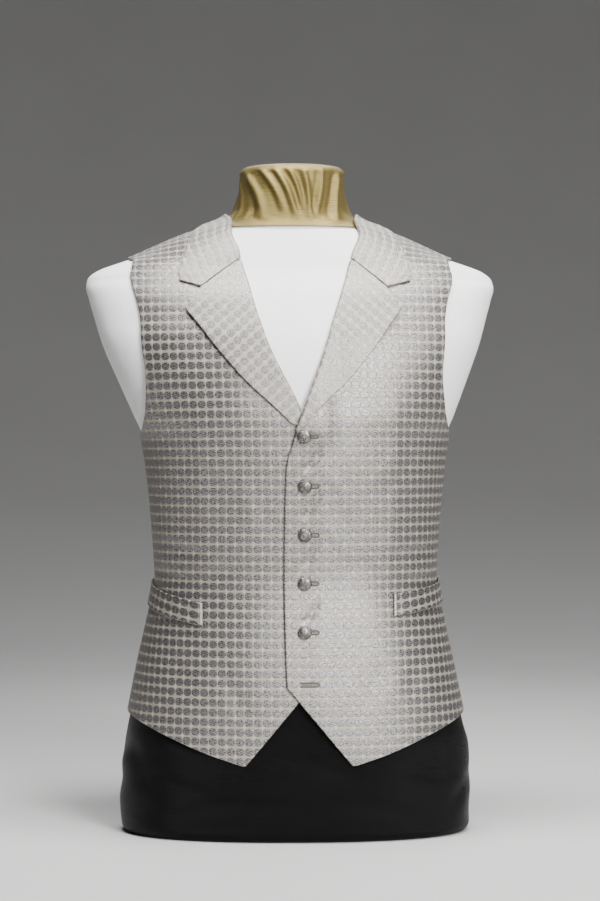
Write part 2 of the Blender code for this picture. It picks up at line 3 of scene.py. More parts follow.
import bmesh
import bpy
import numpy as np
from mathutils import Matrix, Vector


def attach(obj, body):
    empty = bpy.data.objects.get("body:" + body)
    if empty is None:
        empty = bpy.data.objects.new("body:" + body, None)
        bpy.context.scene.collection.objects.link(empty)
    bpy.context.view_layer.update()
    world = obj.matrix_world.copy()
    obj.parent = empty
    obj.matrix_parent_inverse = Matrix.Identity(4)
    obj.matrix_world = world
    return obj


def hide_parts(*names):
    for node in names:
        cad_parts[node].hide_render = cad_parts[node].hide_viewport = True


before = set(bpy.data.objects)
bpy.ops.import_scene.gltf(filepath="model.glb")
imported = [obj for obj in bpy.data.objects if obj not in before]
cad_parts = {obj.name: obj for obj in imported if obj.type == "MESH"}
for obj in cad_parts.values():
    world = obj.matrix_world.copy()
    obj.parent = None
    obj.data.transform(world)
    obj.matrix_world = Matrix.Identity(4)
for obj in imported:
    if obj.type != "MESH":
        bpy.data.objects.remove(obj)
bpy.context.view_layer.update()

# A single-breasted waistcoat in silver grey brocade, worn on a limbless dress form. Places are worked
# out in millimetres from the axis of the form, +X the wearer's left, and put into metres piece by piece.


# The camera
# A long lens, level with the waist, two degrees to the wearer's right of the front.

bearing, distance, side_step = radians(-2.0), 2.8, 0.00504
lens = bpy.data.cameras.new("camera")
lens.lens = 99.9
lens.sensor_width = 36.0
lens.clip_end = 20.0
camera = bpy.data.objects.new("camera", lens)
camera.location = (side_step * cos(bearing) + distance * sin(bearing) + 0.0054,
                   side_step * sin(bearing) - distance * cos(bearing) + 0.002, 0.4215)
camera.rotation_euler = (radians(90.0), 0.0, bearing)
bpy.context.scene.collection.objects.link(camera)
bpy.context.scene.camera = camera


# The padded form
# A tailor's form without limbs: firm padding over a shell, drawn smooth in white plain-weave cotton,
# flat underneath so that it stands by itself. Its chest and shoulder ends show round the waistcoat.

class Table:
    """Columns of sizes, read smoothly between their rows and sharply at their corners."""

    def __init__(self, columns, rows, corners=()):
        rows = np.array(rows, dtype=float)
        self.at = rows[:, 0]
        self.columns = {name: (rows[:, k], *self.slopes(rows[:, k], corners))
                        for k, name in enumerate(columns) if k}

    def slopes(self, values, corners):
        """Slope before and after each row: one monotone slope, or the two chords at a corner."""
        spans = np.diff(self.at)
        chords = np.diff(values) / spans
        before = np.concatenate((chords[:1], chords))
        after = np.concatenate((chords, chords[-1:]))
        left, right, near, far = chords[:-1], chords[1:], spans[:-1], spans[1:]
        steady = left * right > 0
        weight_left, weight_right = 2 * far + near, far + 2 * near
        level = weight_left / np.where(steady, left, 1.0) + weight_right / np.where(steady, right, 1.0)
        slope = np.where(steady, (weight_left + weight_right) / np.where(steady, level, 1.0), 0.0)
        smooth = ~np.isin(self.at[1:-1], corners)
        before[1:-1] = np.where(smooth, slope, left)
        after[1:-1] = np.where(smooth, slope, right)
        return before, after

    def read(self, name, at):
        values, before, after = self.columns[name]
        at = np.clip(at, self.at[0], self.at[-1])
        k = np.clip(np.searchsorted(self.at, at, side="right") - 1, 0, len(self.at) - 2)
        span = self.at[k + 1] - self.at[k]
        t = (at - self.at[k]) / span
        start = (1 + 2 * t) * (1 - t) ** 2 * values[k] + t * (1 - t) ** 2 * span * after[k]
        end = t * t * (3 - 2 * t) * values[k + 1] - t * t * (1 - t) * span * before[k + 1]
        return start + end


# Each section is a rounded oblong: half_width to the sides, front and back from its widest line.
form_sections = Table(
    ("z", "half_width", "front", "back", "centre_x", "ridge_y", "square_x", "square_y"),
    ((0, 193.5, 118, 118, 0.0, 0, 2.3, 2.4), (60, 192.8, 120, 128, 0.0, 0, 2.3, 2.4),
     (97, 190.5, 120, 128, 0.0, 0, 2.3, 2.4), (142, 181.8, 119, 122, 0.0, 0, 2.3, 2.4),
     (187, 172.5, 117, 113, 0.0, 1, 2.3, 2.4), (232, 162.5, 115, 104, 0.0, 3, 2.3, 2.4),
     (280, 153.5, 112, 98, 0.0, 4, 2.3, 2.3), (321, 155.4, 115, 97, 0.0, 4, 2.3, 2.3),
     (366, 158.9, 120, 102, 0.0, 4, 2.3, 2.3), (400, 162.5, 125, 108, -0.5, 4, 2.3, 2.3),
     (433, 167.5, 129, 115, -1.2, 5, 2.3, 2.4), (461, 179.0, 132, 118, -2.0, 7, 2.3, 2.6),
     (500, 195.0, 132, 120, -3.6, 10, 2.2, 2.8), (540, 211.0, 127, 119, -5.0, 13, 2.1, 2.8),
     (568, 219.5, 119, 116, -5.4, 16, 2.0, 2.6), (590, 225.8, 110, 112, -5.5, 18, 2.0, 2.4),
     (604, 229.3, 101, 108, -5.4, 19, 2.0, 2.2), (613, 227.8, 95, 104, -5.8, 20, 2.0, 2.0),
     (621, 219.5, 90, 100, -6.0, 20, 2.0, 2.0), (636, 180.0, 84, 92, -6.0, 20, 2.0, 2.0),
     (659, 127.0, 72, 78, -5.5, 18, 2.0, 2.0), (678, 77.0, 62, 64, -5.0, 14, 2.0, 2.0),
     (692, 63.0, 58, 58, -4.5, 10, 2.0, 2.0), (712, 59.0, 57, 57, -3.8, 6, 2.0, 2.0),
     (738, 58.8, 57, 57, -3.4, 4, 2.0, 2.0)))
form_top, foot_round, neck_round, neck_dome = 738.0, 10.0, 11.0, 2.0
axis_origin = np.array((-5.4, -2.0, 0.0))
neck_centre, neck_radius, neck_turn_z, pole_reach = (-3.4, 4.0), 58, form_top - neck_round, 60.0
cover_wall, hip_gap, neck_gap, hip_cover_top, neck_cover_foot = 1.5, 0.6, 1.6, 236.0, 669.0


def ramp(value, low, high):
    t = np.clip((value - low) / (high - low), 0.0, 1.0)
    return t * t * (3 - 2 * t)


def mix(a, b, t):
    return a + (b - a) * t


def round_inset(z):
    """How far the rounded foot and the rounded top of the neck draw a section in."""
    low = foot_round - np.clip(z, 0, foot_round)
    high = np.clip(z, form_top - neck_round, form_top) - (form_top - neck_round)
    return (foot_round - np.sqrt(foot_round ** 2 - low ** 2)
            + neck_round - np.sqrt(neck_round ** 2 - high ** 2))


def form_point(angle, z, inset=0.0):
    """Point of the covered form at an angle from the front, in degrees, and a height."""
    angle, z, inset = np.broadcast_arrays(np.asarray(angle, float), np.asarray(z, float), inset)
    read = form_sections.read
    drawn = round_inset(z) + inset
    s, c = np.sin(np.radians(angle)), np.cos(np.radians(angle))
    wide = (read("half_width", z) - drawn) * np.abs(s) ** (2 / read("square_x", z))
    reach = np.where(c > 0, read("front", z), read("back", z)) - drawn
    deep = reach * np.abs(c) ** (2 / read("square_y", z))
    return np.stack((read("centre_x", z) + np.copysign(wide, s),
                     read("ridge_y", z) - np.copysign(deep, c), z), -1)


def unit(vectors):
    return vectors / np.maximum(np.linalg.norm(vectors, axis=-1, keepdims=True), 1e-12)


def form_normal(angle, z):
    along = form_point(angle + 0.6, z) - form_point(angle - 0.6, z)
    up = form_point(angle, z + 1) - form_point(angle, z - 1)
    return unit(np.cross(along, up))


def cloth_point(angle, z, rise, inset=0.0):
    return form_point(angle, z, inset) + form_normal(angle, z) * np.asarray(rise)[..., None]


def new_piece(name, points, faces, cloth, finishes, face_finish=None):
    """Closed mesh with merged seams and outward faces. cloth is its UV map, in millimetres of cloth."""
    mesh = bpy.data.meshes.new(name)
    mesh.from_pydata(((points - axis_origin) * 0.001).tolist(), [], faces)
    corner = np.empty(len(mesh.loops), dtype=np.int32)
    mesh.loops.foreach_get("vertex_index", corner)
    layer = mesh.uv_layers.new(name="cloth")
    layer.data.foreach_set("uv", (cloth[corner] * 0.001).astype(np.float32).ravel())
    for finish in finishes:
        mesh.materials.append(finish)
    if face_finish is not None:
        mesh.polygons.foreach_set("material_index", np.asarray(face_finish, dtype=np.int32))
    built = bmesh.new()
    built.from_mesh(mesh)
    bmesh.ops.remove_doubles(built, verts=built.verts, dist=2e-7)
    bmesh.ops.recalc_face_normals(built, faces=built.faces)
    built.to_mesh(mesh)
    built.free()
    mesh.shade_smooth()
    piece = bpy.data.objects.new(name, mesh)
    bpy.context.scene.collection.objects.link(piece)
    return piece


def grid_faces(rows, columns, start=0, turned=False):
    r, c = np.meshgrid(np.arange(rows - 1), np.arange(columns - 1), indexing="ij")
    low = start + r.ravel() * columns + c.ravel()
    corners = np.stack((low, low + 1, low + columns + 1, low + columns), -1)
    return (corners[:, ::-1] if turned else corners).tolist()


def girth_map(angle, z):
    """Place on the cloth: round from the front centre and up."""
    angle, z = np.broadcast_arrays(angle, z)
    return np.stack((np.interp(np.abs(angle), girth_angles, girth_lengths) * np.sign(angle), z), -1)


girth_angles = np.linspace(0, 180, 91)
girth_steps = np.linalg.norm(np.diff(form_point(girth_angles, 400.0), axis=0), axis=-1)
girth_lengths = np.concatenate(([0], np.cumsum(girth_steps)))


def add_node(tree, kind, sockets=(), **settings):
    """One node, its inputs joined or filled in order."""
    made = tree.nodes.new(kind)
    for name, value in settings.items():
        setattr(made, name, value)
    for socket, value in zip(made.inputs, sockets):
        if isinstance(value, bpy.types.NodeSocket):
            tree.links.new(value, socket)
        elif value is not None:
            socket.default_value = value
    return made


def maths(tree, operation, *values):
    return add_node(tree, "ShaderNodeMath", values, operation=operation).outputs[0]


def plus(tree, *values):
    return maths(tree, "ADD", *values)


def times(tree, *values):
    return maths(tree, "MULTIPLY", *values)


def step_up(tree, value, low, high, start=0.0, end=1.0):
    return add_node(tree, "ShaderNodeMapRange", (value, low, high, start, end),
                    interpolation_type="SMOOTHSTEP").outputs[0]


def colour_mix(tree, factor, one, other, mode="MIX"):
    made = add_node(tree, "ShaderNodeMix", (factor,), data_type="RGBA", blend_type=mode)
    for socket, value in ((made.inputs[6], one), (made.inputs[7], other)):
        if isinstance(value, bpy.types.NodeSocket):
            tree.links.new(value, socket)
        else:
            socket.default_value = (*value, 1.0)
    return made.outputs[2]


def noise(tree, place, scale, detail=2.0, rough=0.5):
    made = add_node(tree, "ShaderNodeTexNoise", (place,))
    made.inputs["Scale"].default_value = scale
    made.inputs["Detail"].default_value = detail
    made.inputs["Roughness"].default_value = rough
    return made.outputs["Fac"]


def stretched(tree, place, scale):
    return add_node(tree, "ShaderNodeMapping", (place, None, None, scale)).outputs[0]


def finish_tree(name, roughness=0.5, metallic=0.0, **plain):
    """Material, its shader and its tree. Values that are the same all over go on the shader itself."""
    made = bpy.data.materials.new(name)
    made.use_nodes = True
    tree = made.node_tree
    shader = tree.nodes["Principled BSDF"]
    shader.inputs["Roughness"].default_value = roughness
    shader.inputs["Metallic"].default_value = metallic
    for socket, value in plain.items():
        shader.inputs[socket.replace("_", " ")].default_value = value
    return made, shader, tree


def relief(tree, shader, height, depth):
    bump = add_node(tree, "ShaderNodeBump")
    bump.inputs["Distance"].default_value = depth
    tree.links.new(height, bump.inputs["Height"])
    tree.links.new(bump.outputs[0], shader.inputs["Normal"])


def cloth_map(tree):
    return add_node(tree, "ShaderNodeUVMap", uv_map="cloth").outputs[0]


def body_place(tree):
    return add_node(tree, "ShaderNodeTexCoord").outputs["Object"]


def weave_group():
    """Threads over and under each other. Cloth is a place on the cloth in metres."""
    tree = bpy.data.node_groups.new("plain weave", "ShaderNodeTree")
    tree.interface.new_socket("Cloth", in_out="INPUT", socket_type="NodeSocketVector")
    pitch = tree.interface.new_socket("Thread Pitch", in_out="INPUT", socket_type="NodeSocketFloat")
    pitch.default_value = 0.0006
    tree.interface.new_socket("Height", in_out="OUTPUT", socket_type="NodeSocketFloat")
    tree.interface.new_socket("Slub", in_out="OUTPUT", socket_type="NodeSocketFloat")
    given, out = tree.nodes.new("NodeGroupInput"), tree.nodes.new("NodeGroupOutput")
    place = add_node(tree, "ShaderNodeSeparateXYZ", (given.outputs["Cloth"],))
    turns = [times(tree, maths(tree, "DIVIDE", side, given.outputs["Thread Pitch"]), pi)
             for side in place.outputs[:2]]
    over = times(tree, maths(tree, "SINE", turns[0]), maths(tree, "SINE", turns[1]))
    warp = maths(tree, "ABSOLUTE", maths(tree, "COSINE", turns[0]))
    weft = maths(tree, "ABSOLUTE", maths(tree, "COSINE", turns[1]))
    threads = plus(tree, times(tree, maths(tree, "ABSOLUTE", over), 0.7),
                    times(tree, plus(tree, warp, weft), -0.2))
    tree.links.new(plus(tree, threads, 0.4), out.inputs["Height"])
    slub = noise(tree, stretched(tree, given.outputs["Cloth"], (40.0, 1100.0, 1.0)), 1.0, 2.0)
    tree.links.new(slub, out.inputs["Slub"])
    return tree


plain_weave = weave_group()


def weave(tree, place, pitch):
    made = tree.nodes.new("ShaderNodeGroup")
    made.node_tree = plain_weave
    tree.links.new(place, made.inputs["Cloth"])
    made.inputs["Thread Pitch"].default_value = pitch
    return made.outputs["Height"], made.outputs["Slub"]


def cotton_finish():
    made, shader, tree = finish_tree("white_cotton", 0.85, Sheen_Weight=0.25, Sheen_Roughness=0.5)
    place = cloth_map(tree)
    threads, slub = weave(tree, place, 0.0007)
    body = body_place(tree)
    cloudy = noise(tree, body, 9.0, 3.0)
    shade = colour_mix(tree, cloudy, (0.82, 0.82, 0.83), (0.89, 0.89, 0.885))
    shade = colour_mix(tree, times(tree, slub, 0.35), shade, (0.76, 0.76, 0.765))
    tree.links.new(shade, shader.inputs["Base Color"])
    tree.links.new(step_up(tree, cloudy, 0.2, 0.8, 0.8, 0.9), shader.inputs["Roughness"])
    height = plus(tree, threads, times(tree, noise(tree, body, 45.0, 2.0), 1.6))
    relief(tree, shader, height, 0.0002)
    return made


white_cotton = cotton_finish()
form_angles = np.linspace(-180, 180, 129)
form_heights = np.unique(np.concatenate((
    (0, 0.4, 1.2, 2.5, 4.5, 7, 10), np.arange(16, 590, 7), np.arange(590, 700, 2.5),
    np.arange(700, neck_turn_z, 5), neck_turn_z + neck_round * np.sin(np.radians(np.arange(0, 91, 11.25))))))
cover_inset = ((cover_wall + hip_gap) * (1 - ramp(form_heights, hip_cover_top, hip_cover_top + 18))
               + (cover_wall + neck_gap) * ramp(form_heights, neck_cover_foot - 18, neck_cover_foot))
top_drop = (cover_wall + hip_gap) * ramp(form_heights, form_top - neck_round, form_top)
rings = form_point(form_angles[None, :], form_heights[:, None], cover_inset[:, None])
rings[..., 2] -= top_drop[:, None]
foot = np.broadcast_to((0.0, 0.0, 0.0), (1, len(form_angles), 3))
head = np.broadcast_to((*neck_centre, form_top + neck_dome - cover_wall - hip_gap), (1, len(form_angles), 3))
grid = np.concatenate((foot, rings, head))
grid_heights = np.concatenate(((-pole_reach,), form_heights, (form_top + pole_reach,)))
cotton_map = girth_map(form_angles[None, :], grid_heights[:, None])
padded_form = new_piece("padded_form", grid.reshape(-1, 3), grid_faces(*grid.shape[:2]),
                        cotton_map.reshape(-1, 2), (white_cotton,))
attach(padded_form, "root")
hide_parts("dress_form")


# The hip cover
# A tube of black satin drawn down over the hips and turned in round the foot. It is pulled tight by
# hand, so shallow wrinkles run across it and its sides are not quite straight.

edge_steps = np.array((0.0, 0.15, 0.45, 0.9, 1.5, 2.4))


def shell(name, inner, outer, cloth, finishes, foot="edge", head="edge", sides="edge"):
    """Cloth of the wall between two grids of points, its edges rounded. A foot or head is an edge, a
    tip where the piece runs out, or a pole; sides are edges, or join in a ring."""
    middle, half = (inner + outer) / 2, (outer - inner) / 2
    wall = np.linalg.norm(half, axis=-1)
    reach = np.full(wall.shape, 1e6)
    across = np.linalg.norm(np.diff(middle, axis=1), axis=-1)
    across = np.concatenate((np.zeros((len(across), 1)), np.cumsum(across, axis=1)), axis=1)
    along = np.linalg.norm(np.diff(middle, axis=0), axis=-1)
    along = np.concatenate((np.zeros((1, along.shape[1])), np.cumsum(along, axis=0)))
    if sides == "edge":
        reach = np.minimum(reach, np.minimum(across, across[:, -1:] - across))
    if foot == "edge":
        reach = np.minimum(reach, along)
    if head == "edge":
        reach = np.minimum(reach, along[-1:] - along)
    rounded = np.sqrt(1 - (1 - np.clip(reach / np.maximum(wall, 1e-9), 0, 1)) ** 2)
    if foot == "tip":
        rounded[0] = 0.0
    if head == "tip":
        rounded[-1] = 0.0
    outside = middle + half * rounded[..., None]
    inside = middle - half * rounded[..., None]
    rows, columns = wall.shape
    faces = grid_faces(rows, columns) + grid_faces(rows, columns, rows * columns, turned=True)
    lining = np.repeat((0, len(finishes) - 1), (rows - 1) * (columns - 1))
    return new_piece(name, np.concatenate((outside.reshape(-1, 3), inside.reshape(-1, 3))), faces,
                     np.concatenate((cloth.reshape(-1, 2),) * 2), finishes, lining)


def crease(x, z, start, end, width, depth):
    """Soft trough, or ridge where depth is above zero, that fades at both its ends."""
    run, rise = end[0] - start[0], end[1] - start[1]
    length = np.hypot(run, rise)
    t = ((x - start[0]) * run + (z - start[1]) * rise) / length ** 2
    off = ((x - start[0]) * rise - (z - start[1]) * run) / length
    bow = off + 0.06 * length * np.sin(np.clip(t, 0, 1) * pi)
    fade = ramp(t, -0.1, 0.3) * (1 - ramp(t, 0.7, 1.1))
    return depth * fade * (np.exp(-(bow / width) ** 2) - 0.35 * np.exp(-((bow - 1.9 * width) / width) ** 2))


def satin_finish(name, dark, light, roughness, pitch, depth, **plain):
    """Satin: long floats that shine along the warp, with cloudy patches where it is pulled."""
    made, shader, tree = finish_tree(name, roughness, **plain)
    place = cloth_map(tree)
    threads, slub = weave(tree, place, pitch)
    body = body_place(tree)
    cloudy = noise(tree, stretched(tree, body, (1.0, 1.0, 2.2)), 7.0, 3.0)
    shade = colour_mix(tree, cloudy, dark, light)
    shade = colour_mix(tree, times(tree, slub, 0.4), shade, tuple(0.8 * value for value in dark))
    tree.links.new(shade, shader.inputs["Base Color"])
    uneven = plus(tree, times(tree, slub, 0.12), times(tree, cloudy, 0.1))
    tree.links.new(plus(tree, uneven, roughness - 0.11), shader.inputs["Roughness"])
    height = plus(tree, times(tree, threads, 0.5),
                   plus(tree, slub, times(tree, cloudy, 6.0)))
    relief(tree, shader, height, depth)
    return made


black_satin = satin_finish("black_satin", (0.0008, 0.0008, 0.001), (0.0022, 0.0022, 0.0027),
                           0.3, 0.0003, 0.00022, Specular_IOR_Level=0.08)

hip_creases = (
    (-150, 118, -40, 84, 9, -1.6), (-172, 62, -70, 44, 10, -1.5), (-120, 28, 0, 40, 8, -1.0),
    (-30, 92, 62, 66, 9, -1.2), (20, 40, 128, 22, 9, -1.2), (66, 104, 160, 126, 10, -1.5),
    (92, 74, 176, 60, 9, -1.6), (150, 30, 230, 70, 10, -1.4), (-235, 96, -160, 88, 11, -1.7),
    (-300, 40, -200, 60, 12, -1.6), (-330, 130, -240, 112, 12, -1.8), (210, 120, 300, 90, 12, -1.8),
    (260, 44, 350, 60, 11, -1.5), (-380, 80, -310, 104, 11, -1.4), (320, 130, 390, 104, 11, -1.4),
)


def hip_relief(angle, z):
    """Listed creases and a slow wave; nothing where the waistcoat lies on the cover."""
    round_place = girth_map(angle, z)[..., 0]
    depth = sum(crease(round_place, z, row[:2], row[2:4], row[4], row[5]) for row in hip_creases)
    slow = 0.8 * np.sin(np.radians(angle) * 4 + z / 31) + 0.6 * np.sin(np.radians(angle) * 7 - z / 23 + 1.3)
    bare = 1 - ramp(z, 108, 138)
    near_foot = ramp(z, 2, 22)
    return (np.clip(depth * 1.25, -1.8, 1.2) * near_foot + slow * 1.2 * near_foot + 0.8) * bare


hip_angles = np.linspace(-180, 180, 241)
hip_heights = np.unique(np.concatenate((
    0.5 + edge_steps, (4, 5.5, 7, 8.5, 10, 12), np.arange(15, 232, 3.0), hip_cover_top - edge_steps)))
hip_z, hip_angle = np.meshgrid(hip_heights, hip_angles, indexing="ij")
hip_rise = hip_relief(hip_angle, hip_z)
hip_satin = shell("hip_satin", cloth_point(hip_angle, hip_z, np.maximum(hip_rise, -0.3), cover_wall),
                  cloth_point(hip_angle, hip_z, hip_rise), girth_map(hip_angle, hip_z), (black_satin,),
                  sides="ring")
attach(hip_satin, "root")
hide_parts("hip_cover")


# The neck cover
# A square of gold slub silk laid over the neck of the form and drawn down round it. Soft folds run
# from its top edge down to the middle, and it is doubled over the rounded top.

neck_folds = (
    (-66, 734, -26, 676, 4.6, 4.6), (-44, 738, -8, 686, 3.2, 3.4), (-26, 739, 4, 680, 3.0, 4.4),
    (-10, 738, 12, 684, 2.6, 3.6), (8, 737, 16, 674, 3.2, 4.2), (32, 738, 22, 680, 3.0, 3.0),
    (58, 734, 40, 674, 4.2, 4.4), (-86, 726, -58, 676, 4.0, 2.8), (-118, 728, -92, 676, 4.4, 2.6),
    (-150, 726, -128, 680, 4.4, 2.2), (102, 728, 84, 680, 4.2, 2.2), (136, 727, 116, 680, 4.4, 2.3),
    (168, 727, 152, 680, 4.4, 2.2),
)


def neck_relief(angle, z):
    round_place = np.radians(angle) * neck_radius
    height = 0
    for row in neck_folds:
        for turn in (-2 * pi * neck_radius, 0, 2 * pi * neck_radius):
            height = height + crease(round_place + turn, z, row[:2], row[2:4], row[4], row[5])
    band = 1.4 * ramp(z, 726, 732)
    free = 1 - 0.85 * ramp(z, 727, 735)
    return (height + 0.5 * np.sin(np.radians(angle) * 8 + z / 9)) * free * ramp(z, 672, 682) + band


def silk_finish():
    made, shader, tree = finish_tree("gold_silk", 0.34, Specular_IOR_Level=0.2)
    place = cloth_map(tree)
    threads, slub = weave(tree, place, 0.0004)
    body = body_place(tree)
    streaks = noise(tree, stretched(tree, place, (60.0, 900.0, 1.0)), 1.0, 3.0)
    shade = colour_mix(tree, streaks, (0.145, 0.108, 0.032), (0.25, 0.195, 0.073))
    shade = colour_mix(tree, step_up(tree, slub, 0.56, 0.76, 0.0, 0.35), shade, (0.42, 0.35, 0.18))
    patches = step_up(tree, noise(tree, body, 14.0), 0.4, 0.7, 0.0, 0.3)
    shade = colour_mix(tree, patches, shade, (0.15, 0.12, 0.038))
    tree.links.new(shade, shader.inputs["Base Color"])
    tree.links.new(step_up(tree, streaks, 0.2, 0.8, 0.55, 0.7), shader.inputs["Metallic"])
    tree.links.new(step_up(tree, streaks, 0.2, 0.8, 0.26, 0.34), shader.inputs["Roughness"])
    relief(tree, shader, plus(tree, threads, times(tree, slub, 0.8)), 0.00008)
    return made


gold_silk = silk_finish()
silk_angles = np.linspace(-180, 180, 217)
silk_heights = np.unique(np.concatenate((
    neck_cover_foot + edge_steps, np.arange(672.5, neck_turn_z, 1.2),
    neck_turn_z + neck_round * np.sin(np.radians(np.arange(0, 91, 6.0))))))
silk_z, silk_angle = np.meshgrid(silk_heights, silk_angles, indexing="ij")
silk_out = form_normal(silk_angle, np.minimum(silk_z, 726.0))
silk_fold = neck_relief(silk_angle, silk_z)[..., None]
silk_outer = form_point(silk_angle, silk_z) + silk_out * silk_fold
silk_inner = form_point(silk_angle, silk_z, cover_wall) + silk_out * np.maximum(silk_fold, -0.4)
silk_inner[..., 2] -= cover_wall * ramp(silk_z, neck_turn_z, form_top)
crown = np.linspace(0.94, 0.0, 9)[:, None]
silk_grids = []
for rim in (silk_inner, silk_outer):
    centre = np.array((*neck_centre, rim[-1, :, 2].mean() + neck_dome))
    rows = centre + (rim[-1:] - centre) * crown[..., None]
    rows[..., 2] = centre[2] + (rim[-1:, :, 2] - centre[2]) * crown ** 2
    rows[..., 2] += 0.5 * np.sin(np.radians(silk_angles) * 3 + 3 * crown) * crown * (1 - crown)
    silk_grids.append(np.concatenate((rim, rows)))
silk_map = np.stack((np.radians(silk_angle) * neck_radius, silk_z), -1)
crown_map = np.stack(np.broadcast_arrays(
    np.radians(silk_angles) * neck_radius, form_top + neck_radius * (1 - crown)), -1)
neck_silk = shell("neck_silk", *silk_grids, np.concatenate((silk_map, crown_map)), (gold_silk,),
                  head="pole", sides="ring")
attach(neck_silk, "root")
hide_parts("neck_cover")


# The two fronts
# Silver grey brocade, cut with the repeat upright, faced and lined with grey satin, and shaped by one
# dart from the pocket to the chest. The left front lies over the right one and is buttoned to it.

cloth_wall, seam_gap = 2.0, 0.35
ease_table = Table(("z", "ease"), (
    (80, 2.6), (280, 2.5), (430, 2.5), (540, 2.2), (600, 1.6), (634, 1.1), (680, 1.0)))
edge_table = Table(("z", "over", "under"), (
    (167, -13.5, -13.5), (218, -15.4, -15.4), (285, -16.4, -16.4), (347, -15.9, -15.9), (400, -14.0, -14.0),
    (410, -12.6, -13.2), (422, -8.9, -12.0), (432, -5.5, -10.2), (440, -2.5, -8.0), (450, 2.4, -4.8),
    (459, 6.4, -2.0), (469, 10.2, 0.6), (486, 17.4, 8.0), (502, 24.2, 16.2), (518, 30.8, 23.8),
    (537, 37.8, 31.8), (553, 43.0, 37.1), (573, 49.6, 43.6), (595, 56.8, 49.6), (612, 62.2, 54.3),
    (629, 66.8, 58.7)))
neck_table = Table(("station", "angle", "lean", "z", "fall_angle", "fall_lean", "fall_z"), (
    (0, 18.38, 1.22, 629.0, 33.1, 0.8, 604.0), (0.5, 22.7, 1.8, 640.5, 34.2, 1.1, 620.0),
    (1, 28.2, 2.1, 650.3, 40.8, 1.5, 634.5), (1.5, 36.3, 2.2, 661.0, 48.3, 2.0, 646.5),
    (2, 47.0, 2.0, 670.0, 56.5, 2.0, 656.5), (3, 70.0, 1.0, 679.0, 72.0, 1.0, 666.8),
    (4, 93.0, 0.0, 682.0, 93.0, 0.0, 671.0), (5, 135.0, 0.0, 681.0, 135.0, 0.0, 660.0),
    (6, 180.0, 0.0, 680.0, 180.0, 0.0, 654.0)), corners=(0,))
front_table = Table(("station", "edge_z", "side_angle", "side_z"), (
    (0, 83.0, 15.3, 82.8), (1, 99.5, 27.0, 94.4), (2, 117.0, 45.0, 112.0), (3, 139.5, 66.0, 126.0),
    (4, 167.0, 100.0, 138.0), (5, 262.0, 100.0, 236.0), (6, 352.0, 100.0, 334.0), (7, 430.0, 100.0, 426.0),
    (7.3, 444.0, 84.0, 437.0), (7.6, 458.0, 70.5, 449.0), (8, 478.0, 60.8, 466.0), (9, 530.0, 51.2, 518.0),
    (10, 582.0, 48.8, 577.0), (11, 629.0, 51.5, 617.0), (11.5, 629.0, 63.0, 630.5), (12, 629.0, 93.0, 637.0),
    (13, 629.0, 93.0, 681.2)), corners=(4, 7, 12))
front_rows = ((0, 1, 12), (1, 2, 10), (2, 3, 10), (3, 4, 13), (4, 5, 46), (5, 6, 44), (6, 7, 38), (7, 8, 26),
              (8, 9, 20), (9, 10, 20), (10, 11, 20), (11, 12, 26), (12, 13, 22))
front_point_place, front_corner_z = (58.5, 82.6), 167.0
overlap_lift, overlap_full, overlap_end, crossing_lift, crossing_z, crossing_reach, edge_stand = (
    2.9, 20.0, 50.0, 3.4, 462.0, 46.0, 1.0)

# Creases of the fronts: start x, start z, end x, end z, width and depth, measured out from the centre.
# The short slanted ones are the pull at the buttonholes of the upper front.
over_creases = (
    (24, 427, 5, 399, 3.8, -1.9), (21, 380, 4, 348, 3.8, -1.9),
    (20, 327, 4, 296, 3.6, -1.7), (21, 260, 3, 233, 3.6, -1.7),
    (33, 398, 54, 350, 6.5, 0.9), (30, 344, 52, 300, 6.5, 0.7),
    (150, 318, 92, 306, 7.0, -1.1), (154, 286, 112, 280, 6.0, -0.9), (52, 300, 96, 286, 8.0, -0.6),
    (126, 420, 84, 372, 9.0, -1.1), (60, 130, 98, 196, 12.0, -0.4), (120, 150, 140, 214, 10.0, -0.9),
)
under_creases = (
    (150, 322, 96, 312, 7.0, -1.1), (154, 290, 110, 282, 6.0, -0.9), (60, 294, 100, 284, 8.0, -0.6),
    (122, 424, 80, 380, 9.0, -1.1), (56, 134, 92, 190, 9.0, -0.8), (118, 152, 138, 206, 10.0, -0.9),
    (58, 404, 44, 330, 8.0, 0.6),
)


def ease(z):
    return ease_table.read("ease", z)


def front_relief(side, angle, z):
    """Sharp turn of the dart, soft creases and slow drape, on top of the form's own shape."""
    x = form_point(angle, z)[..., 0]
    dart_x = 102.5 - 5.0 * ramp(z, 430, 250)
    dart = 1.7 * np.exp(-np.abs(x - dart_x) / 15) * ramp(z, 268, 330) * (1 - ramp(z, 430, 500))
    rows = over_creases if side > 0 else under_creases
    creases = sum(crease(x, z, row[:2], row[2:4], row[4], row[5]) for row in rows)
    slow = 0.45 * np.sin(x / 19 + z / 52 + side) * np.sin(z / 41 + 0.7 * side) * ramp(x, 30, 60)
    free = (1 - ramp(z, 560, 610)) * (1 - ramp(angle, 88, 98))
    return (dart + np.clip(creases, -2.1, 1.7) + slow) * free


def front_rise(side, angle, z, deepest=-2.0):
    """Stand-off of a front's inner face. The left front lifts over the right one."""
    rise = ease(z) + np.maximum(front_relief(side, angle, z), deepest)
    if side < 0:
        return rise
    x = form_point(angle, z)[..., 0] - form_sections.read("centre_x", z)
    over = 1 - ramp(x, overlap_full, overlap_end)
    crossing = 1 - ramp(np.abs(z - crossing_z), 0.3 * crossing_reach, crossing_reach)
    stand = edge_stand * (1 - ramp(x, -overlap_full, overlap_full))
    return rise + over * (overlap_lift + crossing_lift * crossing) + stand


